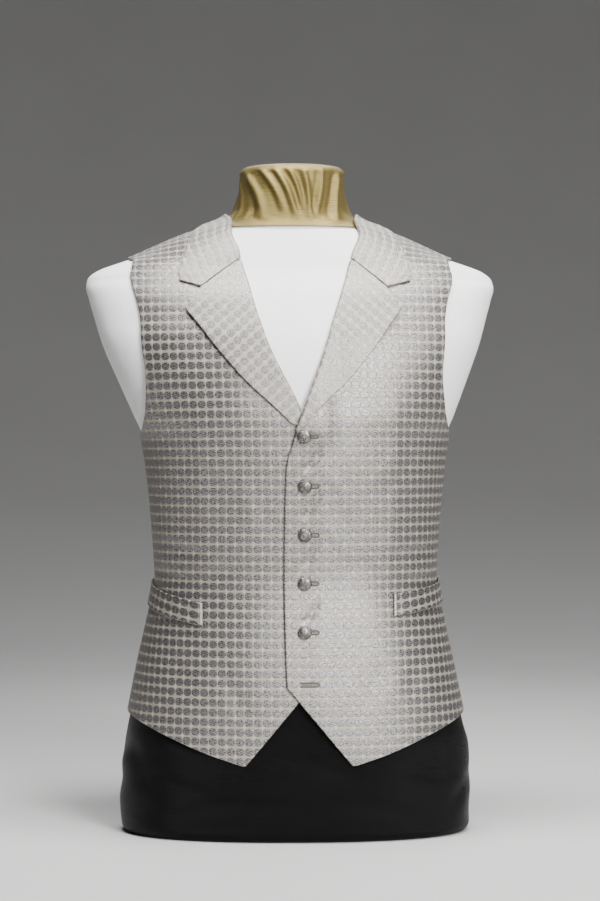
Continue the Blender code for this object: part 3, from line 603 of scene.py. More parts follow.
def angle_for(x, z):
    """Angle of the place that lies x from the centre line, seen from the front."""
    reach = form_sections.read("half_width", z) + ease(z) + cloth_wall
    share = np.minimum(np.abs(x) / reach, 1.0)
    return np.copysign(np.degrees(np.arcsin(share ** (form_sections.read("square_x", z) / 2))), x)


def shy(angle, z, towards):
    """Angle moved by half a seam gap, so that two pieces which meet there stay apart."""
    speed = np.linalg.norm(form_point(angle + 0.5, z) - form_point(angle - 0.5, z), axis=-1)
    return angle + np.copysign(seam_gap / 2 / speed, towards - angle)


def edge_x(side, z):
    return edge_table.read("over" if side > 0 else "under", z)


def neck_place(side, station):
    return (neck_table.read("angle", station) + side * neck_table.read("lean", station),
            neck_table.read("z", station))


def front_ends(side, station):
    """Inner and outer end of each row of a front: the slanted point, front edge and neckline, and the
    hem, side seam, armhole and shoulder seam."""
    z = front_table.read("edge_z", station)
    share = np.clip((z - front_point_place[1]) / (front_corner_z - front_point_place[1]), 0, 1)
    x = np.where(z >= front_corner_z, edge_x(side, z),
                 mix(front_point_place[0], edge_x(side, front_corner_z), share))
    along = np.maximum(2 * (station - 11), 0)
    neck_angle, neck_z = neck_place(side, along)
    neck_angle = np.where(along > 3.5, shy(neck_angle, neck_z, 0.0), neck_angle)
    inner = np.where(station > 11, neck_angle, angle_for(x, z)), np.where(station > 11, neck_z, z)
    angle, side_z = front_table.read("side_angle", station), front_table.read("side_z", station)
    seam = ((station >= 4) & (station <= 7)) | (station >= 12)
    return inner, (np.where(seam, shy(angle, side_z, 0.0), angle), side_z)


def stations_of(counts):
    stations = [mix(low, high, k / count) for low, high, count in counts for k in range(count)]
    return np.array(stations + [float(counts[-1][1])])


def spaced_shares(lengths, count, fine_start=True, fine_end=True, crowd=1.0):
    """Shares across rows of these lengths, with close steps for the rounded edges. Above 1, crowd
    brings the columns closer together towards the start."""
    near = np.minimum(edge_steps[None, :] / np.maximum(lengths, 1e-6)[:, None],
                      0.3 * edge_steps / edge_steps[-1]) if fine_start else np.zeros((len(lengths), 1))
    far = 1 - np.minimum(edge_steps[None, ::-1] / np.maximum(lengths, 1e-6)[:, None],
                         0.3 * edge_steps[::-1] / edge_steps[-1]) if fine_end else np.ones((len(lengths), 1))
    t = np.linspace(0, 1, count + 2)[None, 1:-1] ** crowd
    return np.concatenate((near, mix(near[:, -1:], far[:, :1], t), far), axis=1)


def between(ends, shares):
    """Angle and height at these shares of the way from each row's inner end to its outer one."""
    return [mix(inner[:, None], outer[:, None], shares) for inner, outer in zip(*ends)]


def row_lengths(ends):
    points = form_point(*between(ends, np.linspace(0, 1, 25)))
    return np.linalg.norm(np.diff(points, axis=1), axis=-1).sum(axis=1)


# The brocade's place on a front: round from the centre, and up. Over the shoulder the threads keep
# their distance from the centre, so the height is the length of cloth up to there.
shoulder_z = 590.0
map_angles, map_heights = np.linspace(0, 182, 183), np.linspace(60, 760, 141)
map_points = form_point(map_angles[:, None], map_heights[None, :])
map_girths = np.concatenate((np.zeros((1, 141)),
                             np.cumsum(np.linalg.norm(np.diff(map_points, axis=0), axis=-1), axis=0)))
slope_x, slope_z = np.linspace(0, 232, 117), np.linspace(shoulder_z, 740, 301)
slope_half = form_sections.read("half_width", slope_z)[None, :]
slope_y = form_sections.read("ridge_y", slope_z) - form_sections.read("front", slope_z) * np.sqrt(
    np.clip(1 - (slope_x[:, None] / slope_half) ** 2, 0, 1))
slope_step = (np.hypot(np.diff(slope_y, axis=1), np.diff(slope_z)[None, :])
              * (slope_x[:, None] < slope_half[:, 1:]))
slope_lengths = np.concatenate((np.zeros((117, 1)), np.cumsum(slope_step, axis=1)), axis=1)


def read_grid(rows, columns, values, row, column):
    """Value between four places of an even grid."""
    r = np.clip((row - rows[0]) / (rows[1] - rows[0]), 0, len(rows) - 1.001)
    c = np.clip((column - columns[0]) / (columns[1] - columns[0]), 0, len(columns) - 1.001)
    i, j = r.astype(int), c.astype(int)
    s, t = r - i, c - j
    return mix(mix(values[i, j], values[i + 1, j], s), mix(values[i, j + 1], values[i + 1, j + 1], s), t)


def brocade_place(angle, z):
    """Round and up, for one side of the body. Angles past the centre give lengths below zero."""
    size = np.abs(angle)
    low_z = np.minimum(z, shoulder_z)
    around = read_grid(map_angles, map_heights, map_girths, size, low_z)
    offset = np.abs(form_point(size, z)[..., 0] - form_sections.read("centre_x", z))
    level_angle = np.degrees(np.arcsin(np.clip(offset / form_sections.read("half_width", shoulder_z), 0, 1)))
    over = read_grid(map_angles, map_heights, map_girths, level_angle, shoulder_z + 0 * z)
    up = read_grid(slope_x, slope_z, slope_lengths, offset, z)
    round_place = np.where(z > shoulder_z, over, around)
    return np.stack((np.copysign(round_place, angle), np.where(z > shoulder_z, shoulder_z + up, z)), -1)


def brocade_group():
    """The brocade's figure: round medallions in rows, light bars between the rows, thin
    dotted lines between the columns, and a star at every second crossing."""
    tree = bpy.data.node_groups.new("brocade figure", "ShaderNodeTree")
    tree.interface.new_socket("Cloth", in_out="INPUT", socket_type="NodeSocketVector")
    for name, value in (("Repeat Wide", 0.0097), ("Repeat High", 0.01035), ("Hatch Pitch", 0.0022)):
        tree.interface.new_socket(name, in_out="INPUT", socket_type="NodeSocketFloat").default_value = value
    for name in ("Medallion", "Outline", "Light Lines", "Column Gap", "Hatch", "Height"):
        tree.interface.new_socket(name, in_out="OUTPUT", socket_type="NodeSocketFloat")
    given, out = tree.nodes.new("NodeGroupInput"), tree.nodes.new("NodeGroupOutput")
    place = add_node(tree, "ShaderNodeSeparateXYZ", (given.outputs["Cloth"],))
    wide, high = given.outputs["Repeat Wide"], given.outputs["Repeat High"]
    u, v = maths(tree, "DIVIDE", place.outputs[0], wide), maths(tree, "DIVIDE", place.outputs[1], high)
    off_u = maths(tree, "ABSOLUTE", maths(tree, "SUBTRACT", maths(tree, "FRACT", u), 0.5))
    off_v = maths(tree, "ABSOLUTE", maths(tree, "SUBTRACT", maths(tree, "FRACT", v), 0.5))
    size = plus(tree, maths(tree, "POWER", maths(tree, "DIVIDE", off_u, 0.485), 2.0),
                 maths(tree, "POWER", maths(tree, "DIVIDE", off_v, 0.412), 2.0))
    radius = maths(tree, "SQRT", size)
    medallion = step_up(tree, radius, 0.92, 1.0, 1.0, 0.0)
    rim = times(tree, step_up(tree, radius, 0.76, 0.86), step_up(tree, radius, 0.97, 1.04, 1.0, 0.0))
    dots = step_up(tree, maths(tree, "COSINE", times(tree, v, 8 * pi)), 0.1, 0.7)
    column_line = times(tree, step_up(tree, off_u, 0.445, 0.47), dots)
    row_bar = times(tree, step_up(tree, off_v, 0.40, 0.47), 0.3)
    near_u, near_v = maths(tree, "ROUND", u), maths(tree, "ROUND", v)
    parity = maths(tree, "FRACT", times(tree, plus(tree, near_u, near_v), 0.5))
    chosen = maths(tree, "LESS_THAN", maths(tree, "ABSOLUTE", parity), 0.25)
    arm_u = maths(tree, "ABSOLUTE", maths(tree, "SUBTRACT", u, near_u))
    arm_v = maths(tree, "ABSOLUTE", maths(tree, "SUBTRACT", v, near_v))
    star_size = plus(tree, maths(tree, "POWER", arm_u, 0.75), maths(tree, "POWER", arm_v, 0.75))
    star = times(tree, step_up(tree, star_size, 0.3, 0.4, 1.0, 0.0), chosen)
    lines = maths(tree, "MAXIMUM", maths(tree, "MAXIMUM", times(tree, column_line, 0.8), row_bar), star)
    column_gap = times(tree, step_up(tree, off_u, 0.43, 0.46), step_up(tree, off_v, 0.3, 0.4, 1.0, 0.0))
    turn = maths(tree, "DIVIDE", plus(tree, place.outputs[1], times(tree, place.outputs[0], 0.35)),
                 given.outputs["Hatch Pitch"])
    hatch = step_up(tree, maths(tree, "SINE", times(tree, turn, 2 * pi)), -0.6, 0.6)
    grain = stretched(tree, given.outputs["Cloth"], (480.0, 620.0, 1.0))
    speckle = step_up(tree, noise(tree, grain, 1.0, 3.0, 0.65), 0.38, 0.62)
    outline = times(tree, rim, maths(tree, "SUBTRACT", 0.85, times(tree, speckle, 0.7)))
    lines = times(tree, lines, plus(tree, 0.45, times(tree, speckle, 0.55)))
    inside = plus(tree, times(tree, hatch, 0.3), times(tree, speckle, 0.7))
    inside = times(tree, medallion, inside)
    dome = times(tree, step_up(tree, radius, 0.3, 1.0, 1.0, 0.0), 0.6)
    height = plus(tree, plus(tree, medallion, dome),
                   plus(tree, times(tree, lines, 0.8), times(tree, inside, 0.6)))
    for name, value in (("Medallion", medallion), ("Outline", outline), ("Light Lines", lines),
                        ("Column Gap", column_gap), ("Hatch", inside), ("Height", height)):
        tree.links.new(value, out.inputs[name])
    return tree


brocade_figure = brocade_group()


def brocade_finish(name, ground_dark, ground_light, figure_dark, figure_light, outline_dark, line_light,
                   shine):
    """Light ground and shining figure. shine is how metallic the ground and the figure's floats look."""
    made, shader, tree = finish_tree(name, 0.45, Specular_IOR_Level=0.25)
    place = cloth_map(tree)
    figure = tree.nodes.new("ShaderNodeGroup")
    figure.node_tree = brocade_figure
    tree.links.new(place, figure.inputs["Cloth"])
    medallion, outline, lines, gap, hatch, height = (figure.outputs[name] for name in (
        "Medallion", "Outline", "Light Lines", "Column Gap", "Hatch", "Height"))
    threads, slub = weave(tree, place, 0.00035)
    ground = colour_mix(tree, slub, ground_dark, ground_light)
    ground = colour_mix(tree, times(tree, gap, 0.12), ground, figure_dark)
    shade = colour_mix(tree, lines, ground, line_light)
    figured = colour_mix(tree, hatch, figure_dark, figure_light)
    figured = colour_mix(tree, times(tree, outline, 0.7), figured, outline_dark)
    shade = colour_mix(tree, medallion, shade, figured)
    tree.links.new(shade, shader.inputs["Base Color"])
    tree.links.new(step_up(tree, medallion, 0, 1, *shine), shader.inputs["Metallic"])
    uneven = times(tree, slub, 0.12)
    rough = plus(tree, step_up(tree, medallion, 0, 1, 0.48, 0.32), uneven)
    tree.links.new(rough, shader.inputs["Roughness"])
    height = plus(tree, height, times(tree, threads, 0.4))
    relief(tree, shader, plus(tree, height, slub), 0.00007)
    return made


brocade = brocade_finish("brocade", (0.235, 0.215, 0.182), (0.325, 0.302, 0.26), (0.068, 0.062, 0.058),
                         (0.34, 0.332, 0.345), (0.08, 0.073, 0.067), (0.46, 0.432, 0.375), (0.58, 0.88))
back_satin = satin_finish("back_satin", (0.22, 0.22, 0.22), (0.29, 0.29, 0.29), 0.42, 0.0003, 0.00022,
                          Sheen_Weight=0.1, Sheen_Roughness=0.4)
for side, label in ((1, "left"), (-1, "right")):
    stations = stations_of(front_rows)
    ends = front_ends(side, stations)
    shares = spaced_shares(row_lengths(ends), 84, crowd=1.3)
    angle, z = between(ends, shares)
    rise = front_rise(side, angle, z)
    place = brocade_place(angle, z) * (side, 1)
    lining_rise = front_rise(side, angle, z, -0.5)
    front = shell(label + "_front", cloth_point(side * angle, z, lining_rise),
                  cloth_point(side * angle, z, rise + cloth_wall), place, (brocade, back_satin),
                  foot="tip", head="tip")
    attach(front, "root")
    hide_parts("front_" + label)


# The pocket welts
# A slanted band of the same brocade on each front, its upper edge free and its ends sewn down by a
# close row of light thread.

welt_table = {-1: (231.0, 253.5), 1: (240.5, 256.0)}
welt_height, welt_length, welt_inner_x, welt_outer_angle, welt_gap = 24.5, 108.0, 103.5, 96.0, 1.1
welt_map_start = (3.0, 5.2)


def welt_place(side, across, up):
    inner_z, outer_z = welt_table[side]
    z = mix(inner_z, outer_z, across) + welt_height * up
    return mix(angle_for(welt_inner_x, z), welt_outer_angle, across), z


for side, label in ((1, "left"), (-1, "right")):
    up_steps = np.concatenate((
        edge_steps, np.linspace(3.4, welt_height - 3.4, 9), welt_height - edge_steps[::-1]))
    across_share = spaced_shares(np.array([welt_length]), 44)[0]
    across, up = np.meshgrid(across_share, up_steps / welt_height)
    angle, z = welt_place(side, across, up)
    bow = 0.5 * np.sin(across * pi) * up
    rise = front_rise(side, angle, z) + cloth_wall + welt_gap + bow
    place = np.stack((side * welt_length * across + welt_map_start[0],
                      welt_height * up + welt_map_start[1]), -1)
    welt = shell("welt_" + label, cloth_point(side * angle, z, rise),
                 cloth_point(side * angle, z, rise + cloth_wall), place, (brocade,))
    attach(welt, "root")
    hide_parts("pocket_welt_" + label)


# The lapels
# Each lapel is the top of its front, folded back along the roll line with a soft roll, interfaced so
# that it holds its edge. Folded so, its brocade lies askew; the lapels and the collar are drawn in a
# lighter, flatter copy of the brocade, which is painted sheen of the askew threads.

fold_gap, fold_foot_lift, gorge_gap, gorge_end, notch_lean = 0.85, 0.3, 1.1, 0.02, 1.2
notch_place = (102.0, 597.0)
lapel_table = Table(("station", "roll_z", "edge_x", "edge_lean", "edge_z"), (
    (0, 443.0, 0.2, 0.0, 443.8), (1, 453.0, 13.6, 0.0, 456.5), (2, 474.0, 31.0, 0.3, 472.8),
    (3, 502.0, 51.2, 0.8, 491.6), (4, 528.0, 71.8, 1.2, 514.0), (5, 553.0, 93.2, 1.3, 540.5),
    (6, 580.0, 117.8, 0.0, 573.0), (7, 600.0, 102.0, 0.0, 596.5), (8, 627.6, 102.0, 0.0, 596.5)),
    corners=(6, 7))
lapel_rows = ((0, 1, 12), (1, 2, 12), (2, 3, 16), (3, 4, 16), (4, 5, 18), (5, 6, 20), (6, 7, 14), (7, 8, 18))
roll_turns = np.radians((0, 15, 30, 45, 60, 75))
lapel_turn, lapel_lift = 42.0, 1.3
# A lighter copy of the brocade with fainter figures: painted sheen of threads that lie askew on the lapels
# and collar.
turned_brocade_painted_sheen = brocade_finish(
    "brocade_turned_painted_sheen", (0.27, 0.255, 0.225), (0.33, 0.313, 0.28), (0.10, 0.092, 0.085),
    (0.315, 0.302, 0.292), (0.15, 0.14, 0.13), (0.38, 0.362, 0.326), (0.4, 0.5))


def gorge_place(side, share):
    """Place on the seam between lapel and collar: 0 at the neckline, 1 at the inner corner of the notch."""
    start_z = neck_table.read("z", 0)
    x = mix(edge_x(side, start_z), notch_place[0] + side * notch_lean, share)
    z = mix(start_z, notch_place[1], share)
    return angle_for(x, z), z


def lapel_ends(side, station):
    roll_z = lapel_table.read("roll_z", station)
    roll = angle_for(edge_x(side, roll_z), roll_z), roll_z
    z = lapel_table.read("edge_z", station)
    lean = lapel_table.read("edge_lean", station) + notch_lean * ramp(station, 6, 7)
    free = angle_for(lapel_table.read("edge_x", station) + side * lean, z), z
    gorge_angle, gorge_z = gorge_place(side, mix(1.0, gorge_end, np.clip(station - 7, 0, 1)))
    seam = station > 7
    return roll, (np.where(seam, gorge_angle, free[0]), np.where(seam, gorge_z - gorge_gap, free[1]))


def fold_direction(side, first, second, rise_of):
    """Direction, along the surface, from the panel out past the fold."""
    here = cloth_point(side * first[0], first[1], rise_of(side, *first))
    there = cloth_point(side * second[0], second[1], rise_of(side, *first))
    normal = form_normal(side * first[0], first[1])
    away = here - there
    return unit(away - normal * np.sum(away * normal, axis=-1, keepdims=True))


def folded_grids(side, angle, z, rise_of, fold_out, lift):
    """Inner and outer grid of a piece that turns round a fold at its first column, then lies on top."""
    first = angle[:, 0], z[:, 0]
    foot = cloth_point(side * first[0], first[1], rise_of(side, *first))
    normal = form_normal(side * first[0], first[1])
    grids = []
    for reach in (fold_gap, fold_gap + cloth_wall):
        columns = [foot + fold_out * reach + normal * fold_foot_lift]
        for turn in roll_turns:
            way = fold_out * np.cos(turn) + normal * np.sin(turn)
            columns.append(foot + normal * cloth_wall + way * reach)
        top = cloth_point(side * angle, z, rise_of(side, angle, z) + cloth_wall + reach + lift)
        grids.append(np.concatenate((np.stack(columns, 1), top), axis=1))
    return grids


def folded_map(grid, place):
    """Brocade place of a folded piece: round the fold it goes on by the length of cloth."""
    roll = grid.shape[1] - place.shape[1]
    steps = np.linalg.norm(np.diff(grid[:, :roll + 1], axis=1), axis=-1)
    back = np.cumsum(steps[:, ::-1], axis=1)[:, ::-1]
    outward = unit(place[:, 8:9] - place[:, 0:1])
    return np.concatenate((place[:, 0:1] - outward * back[..., None], place), axis=1)


for side, label in ((1, "left"), (-1, "right")):
    stations = stations_of(lapel_rows)
    if side < 0:
        stations = np.concatenate((0.5 + edge_steps / 25, stations[stations > 0.62]))
    ends = lapel_ends(side, stations)
    shares = spaced_shares(row_lengths(ends), 40, fine_start=False)
    angle, z = between(ends, shares)
    free = lapel_ends(side, np.minimum(stations, 6.0))
    second = mix(free[0][0], free[1][0], 0.2), mix(free[0][1], free[1][1], 0.2)
    fold_out = fold_direction(side, free[0], second, front_rise)
    lift = lapel_lift * shares ** 2 * (ramp(stations, 0.8, 3.0) * (1 - ramp(stations, 6.0, 7.0)))[:, None]
    inner, outer = folded_grids(side, angle, z, front_rise, fold_out, lift)
    place = brocade_place(angle, z) * (side, 1)
    turn = radians(lapel_turn) * -side
    place = folded_map((inner + outer) / 2, place)
    place = np.stack((place[..., 0] * cos(turn) + place[..., 1] * sin(turn),
                      place[..., 1] * cos(turn) - place[..., 0] * sin(turn)), -1)
    lapel = shell("lapel_fold_" + label, inner, outer, place, (turned_brocade_painted_sheen,),
                  foot="tip" if side > 0 else "edge", head="tip")
    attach(lapel, "root")
    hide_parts("lapel_" + label)


# The two backs
# Grey satin, joined by a seam down the centre back, and to the fronts at the sides and shoulders. The
# satin is soft, so it draws into shallow folds at the waist.

back_table = Table(("station", "middle_z", "side_angle", "side_z"), (
    (4, 140.0, 100.0, 138.0), (5, 236.0, 100.0, 236.0), (6, 334.0, 100.0, 334.0), (7, 430.0, 100.0, 426.0),
    (7.3, 444.0, 105.5, 437.0), (7.6, 458.0, 111.0, 449.0), (8, 478.0, 116.0, 466.0),
    (9, 530.0, 123.5, 518.0), (10, 585.0, 126.5, 577.0), (11, 636.0, 122.0, 617.0),
    (11.5, 658.0, 111.0, 630.5), (12, 680.0, 93.0, 637.0), (13, 680.0, 93.0, 681.2)), corners=(7, 12))
back_rows = ((4, 5, 32), (5, 6, 32), (6, 7, 32), (7, 8, 22), (8, 9, 18), (9, 10, 18), (10, 11, 20),
             (11, 12, 26), (12, 13, 22))
back_creases = (
    (226, 330, 330, 306, 8, -1.3), (232, 296, 322, 288, 7, -1.2), (240, 366, 336, 334, 9, -1.2),
    (250, 262, 334, 250, 9, -1.0), (300, 420, 330, 350, 10, -1.0), (262, 200, 300, 250, 11, -0.9),
    (310, 190, 318, 246, 11, -0.9), (300, 520, 270, 456, 12, -1.0), (330, 600, 300, 540, 12, -0.8),
)


def back_rise(side, angle, z):
    around = read_grid(map_angles, map_heights, map_girths, np.abs(angle), z + 0 * angle)
    creases = sum(crease(around - 2 * side, z, row[:2], row[2:4], row[4], row[5]) for row in back_creases)
    slow = 0.5 * np.sin(around / 17 + z / 38 + side) * np.sin(z / 33)
    free = ramp(angle, 101, 112) * (1 - ramp(angle, 166, 178)) * (1 - ramp(z, 590, 640))
    return ease(z) + (np.clip(creases, -1.3, 0.8) + slow) * free


def back_ends(side, station):
    angle, z = back_table.read("side_angle", station), back_table.read("side_z", station)
    angle = np.where((station <= 7) | (station >= 12), shy(angle, z, 180.0), angle)
    middle_z = back_table.read("middle_z", station)
    neck_angle, neck_z = neck_place(side, mix(6, 4, np.clip(station - 12, 0, 1)))
    neck_angle = np.where(neck_angle > 150, shy(neck_angle, neck_z, 0.0), shy(neck_angle, neck_z, 180.0))
    inner = (np.where(station > 12, neck_angle, shy(180.0 + 0 * middle_z, middle_z, 0.0)),
             np.where(station > 12, neck_z, middle_z))
    return inner, (angle, z)


for side, label in ((1, "left"), (-1, "right")):
    stations = stations_of(back_rows)
    stations = np.concatenate((4 + edge_steps / 97, stations[stations > 4.03]))
    ends = back_ends(side, stations)
    shares = spaced_shares(row_lengths(ends), 52)
    angle, z = between(ends, shares)
    rise = back_rise(side, angle, z)
    around = read_grid(map_angles, map_heights, map_girths, angle, z)
    back = shell(label + "_back", cloth_point(side * angle, z, rise),
                 cloth_point(side * angle, z, rise + cloth_wall), np.stack((around * side, z), -1),
                 (back_satin,), head="tip")
    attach(back, "root")
    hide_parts("back_" + label)


# The collar
# One strip of brocade, sewn to the tops of the lapels along the gorge and folded over round the back
# of the neck. Its ends and the lapels' corners make the notches.

notch_share = 0.65
collar_rows = ((0, 1, 18), (1, 2, 16), (2, 3, 16), (3, 4, 14), (4, 5, 22), (5, 6, 20))


def fall_place(side, station):
    return (neck_table.read("fall_angle", station) + side * neck_table.read("fall_lean", station),
            neck_table.read("fall_z", station))


def collar_places(side, station, shares):
    """Places of the collar's rows. Near its end they bend to follow the gorge seam and the notch."""
    top, fall = neck_place(side, station), fall_place(side, station)
    plain_top, plain_fall = neck_place(side, 0.0), fall_place(side, 0.0)
    angle, z = between((top, fall), shares)
    gorge = gorge_place(side, np.minimum(shares / notch_share, 1.0))
    past = np.clip((shares - notch_share) / (1 - notch_share), 0, 1)
    end_angle = np.where(shares <= notch_share, gorge[0], mix(gorge_place(side, 1.0)[0], plain_fall[0], past))
    end_z = np.where(shares <= notch_share, gorge[1], mix(gorge_place(side, 1.0)[1], plain_fall[1], past))
    bend = (np.maximum(1 - station, 0.0) ** 2)[:, None]
    return (angle + (end_angle - mix(plain_top[0], plain_fall[0], shares)) * bend,
            z + (end_z - mix(plain_top[1], plain_fall[1], shares)) * bend)


def collar_rise(side, angle, z):
    return np.where(angle < 90, front_rise(side, angle, z), ease(z))


grids = []
for side in (-1, 1):
    stations = stations_of(collar_rows)
    stations = np.concatenate((edge_steps / 30, stations[stations > 0.09]))
    top, fall = neck_place(side, stations), fall_place(side, stations)
    lengths = row_lengths((top, fall))
    shares = spaced_shares(lengths, 30, fine_start=False)
    angle, z = collar_places(side, stations, shares)
    second = collar_places(side, stations, np.full((len(stations), 1), 0.2))
    fold_out = fold_direction(side, (angle[:, 0], z[:, 0]), (second[0][:, 0], second[1][:, 0]), collar_rise)
    lift = 0.5 * shares ** 2 * ramp(stations, 0.6, 1.6)[:, None]
    halves = folded_grids(side, angle, z, collar_rise, fold_out, lift)
    grids.append([half if side < 0 else half[::-1][1:] for half in halves])
inner, outer = (np.concatenate((grids[0][k], grids[1][k])) for k in (0, 1))
middle = (inner + outer) / 2
spine = np.linalg.norm(np.diff(middle[:, 20], axis=0), axis=-1)
spine = np.concatenate(([0], np.cumsum(spine)))
spine -= spine[-1] / 2
reach = np.linalg.norm(np.diff(middle, axis=1), axis=-1)
reach = np.concatenate((np.zeros((len(reach), 1)), np.cumsum(reach, axis=1)), axis=1)
# The collar is drawn in the lighter copy of the brocade as well: painted sheen.
collar = shell("collar_fold", inner, outer, np.stack((spine[:, None] + 0 * reach, -reach), -1),
               (turned_brocade_painted_sheen,))
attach(collar, "root")
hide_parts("collar")


# Buttonholes and other hand stitches
# Six buttonholes cut across the left front and worked round in silk thread, the lowest left open, and
# the close rows that hold the ends of the welts. A thin near-black strip lies in each cut as painted shadow.

def thread_finish(name, dark, light):
    made, shader, tree = finish_tree(name, 0.45, Sheen_Weight=0.2, Sheen_Roughness=0.4)
    body = body_place(tree)
    twist = noise(tree, stretched(tree, body, (900.0, 900.0, 2400.0)), 1.0, 2.0)
    tree.links.new(colour_mix(tree, twist, dark, light), shader.inputs["Base Color"])
    tree.links.new(step_up(tree, twist, 0.2, 0.8, 0.35, 0.55), shader.inputs["Roughness"])
    relief(tree, shader, twist, 0.0001)
    return made


def stitch_group():
    """Stitches along a path, whose points carry the way out from the cloth."""
    tree = bpy.data.node_groups.new("stitches along a path", "GeometryNodeTree")
    tree.interface.new_socket("Path", in_out="INPUT", socket_type="NodeSocketGeometry")
    for name, value in (("Pitch", 0.0005), ("Stitch Length", 0.0018), ("Stitch Height", 0.0006),
                        ("Thread Radius", 0.00016), ("Turn", pi / 2), ("Uneven", 0.12)):
        tree.interface.new_socket(name, in_out="INPUT", socket_type="NodeSocketFloat").default_value = value
    tree.interface.new_socket("Seed", in_out="INPUT", socket_type="NodeSocketInt").default_value = 4
    tree.interface.new_socket("Thread", in_out="INPUT", socket_type="NodeSocketMaterial")
    tree.interface.new_socket("Stitches", in_out="OUTPUT", socket_type="NodeSocketGeometry")
    given, out = tree.nodes.new("NodeGroupInput"), tree.nodes.new("NodeGroupOutput")

    def joined(kind, names, **settings):
        made = tree.nodes.new(kind)
        for name, value in settings.items():
            setattr(made, name, value)
        for name, value in names.items():
            if isinstance(value, bpy.types.NodeSocket):
                tree.links.new(value, made.inputs[name])
            else:
                made.inputs[name].default_value = value
        return made

    path = joined("GeometryNodeMeshToCurve", {"Mesh": given.outputs["Path"]})
    even = joined("GeometryNodeResampleCurve", {"Curve": path.outputs[0], "Length": given.outputs["Pitch"]},
                  mode="LENGTH")
    half = times(tree, given.outputs["Stitch Length"], 0.5)
    start = joined("ShaderNodeCombineXYZ", {"X": times(tree, half, -1.0)})
    crest = joined("ShaderNodeCombineXYZ", {"Z": given.outputs["Stitch Height"]})
    end = joined("ShaderNodeCombineXYZ", {"X": half})
    arch = joined("GeometryNodeCurveQuadraticBezier", {"Resolution": 4, "Start": start.outputs[0],
                                                       "Middle": crest.outputs[0], "End": end.outputs[0]})
    round_thread = joined("GeometryNodeCurvePrimitiveCircle", {
        "Resolution": 5, "Radius": given.outputs["Thread Radius"]})
    thread = joined("GeometryNodeCurveToMesh", {
        "Curve": arch.outputs[0], "Profile Curve": round_thread.outputs[0], "Fill Caps": True})
    way_out = joined("GeometryNodeInputNamedAttribute", {"Name": "out"}, data_type="FLOAT_VECTOR")
    tangent = tree.nodes.new("GeometryNodeInputTangent")
    upright = joined("FunctionNodeAlignRotationToVector", {"Vector": way_out.outputs[0]}, axis="Z")
    along = joined("FunctionNodeAlignRotationToVector", {
        "Rotation": upright.outputs[0], "Vector": tangent.outputs[0]}, axis="X", pivot_axis="Z")
    wander = joined("FunctionNodeRandomValue", {"Seed": given.outputs["Seed"]}, data_type="FLOAT")
    sway = times(tree, maths(tree, "SUBTRACT", wander.outputs[1], 0.5), given.outputs["Uneven"])
    turned = joined("ShaderNodeCombineXYZ", {"Z": plus(tree, given.outputs["Turn"], sway)})
    spin = joined("FunctionNodeEulerToRotation", {"Euler": turned.outputs[0]})
    rotation = joined("FunctionNodeRotateRotation", {
        "Rotation": along.outputs[0], "Rotate By": spin.outputs[0]}, rotation_space="LOCAL")
    placed = joined("GeometryNodeInstanceOnPoints", {"Points": even.outputs[0], "Instance": thread.outputs[0],
                                                     "Rotation": rotation.outputs[0]})
    real = joined("GeometryNodeRealizeInstances", {"Geometry": placed.outputs[0]})
    dressed = joined("GeometryNodeSetMaterial", {
        "Geometry": real.outputs[0], "Material": given.outputs["Thread"]})
    smooth = joined("GeometryNodeSetShadeSmooth", {"Geometry": dressed.outputs[0]})
    tree.links.new(smooth.outputs[0], out.inputs["Stitches"])
    return tree


light_thread = thread_finish("light_thread", (0.50, 0.48, 0.42), (0.78, 0.75, 0.67))
grey_thread = thread_finish("grey_thread", (0.04, 0.036, 0.03), (0.12, 0.11, 0.095))
# Near-black finish for the strips in the buttonhole cuts: painted shadow.
painted_slit_shadow = thread_finish("painted_slit_shadow", (0.012, 0.011, 0.010), (0.05, 0.045, 0.04))
stitches = stitch_group()


def sew(name, paths, **sizes):
    """Work stitches along paths, each a list of points and of the ways out from the cloth."""
    mesh = bpy.data.meshes.new(name + "_path")
    points, edges, outs = [], [], []
    for path, way_out in paths:
        edges += [(len(points) + k, len(points) + k + 1) for k in range(len(path) - 1)]
        points += ((np.asarray(path) - axis_origin) * 0.001).tolist()
        outs += np.asarray(way_out).tolist()
    mesh.from_pydata(points, edges, [])
    attribute = mesh.attributes.new("out", "FLOAT_VECTOR", "POINT")
    attribute.data.foreach_set("vector", np.array(outs, dtype=np.float32).ravel())
    guide = bpy.data.objects.new(name + "_path", mesh)
    bpy.context.scene.collection.objects.link(guide)
    modifier = guide.modifiers.new("stitches", "NODES")
    modifier.node_group = stitches
    for item in stitches.interface.items_tree:
        if item.item_type == "SOCKET" and item.in_out == "INPUT" and item.name in sizes:
            modifier[item.identifier] = sizes[item.name]
    seen = guide.evaluated_get(bpy.context.evaluated_depsgraph_get())
    sewn = bpy.data.meshes.new_from_object(seen)
    piece = bpy.data.objects.new(name, sewn)
    bpy.context.scene.collection.objects.link(piece)
    guide.modifiers.clear()
    bpy.data.objects.remove(guide, do_unlink=True)
    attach(piece, "root")
    return piece


hole_start, hole_end, hole_half, slit_half = 1.0, 21.5, 1.9, 0.42
top_hole_z, hole_pitch, lowest_hole_z = 437.2, 52.9, 170.0
button_heights = [top_hole_z - hole_pitch * number for number in range(5)]
hole_heights = button_heights + [lowest_hole_z]


def on_left_front(x, z, above):
    angle = angle_for(x, z)
    return (cloth_point(angle, z, front_rise(1, angle, z) + cloth_wall + above), form_normal(angle, z))


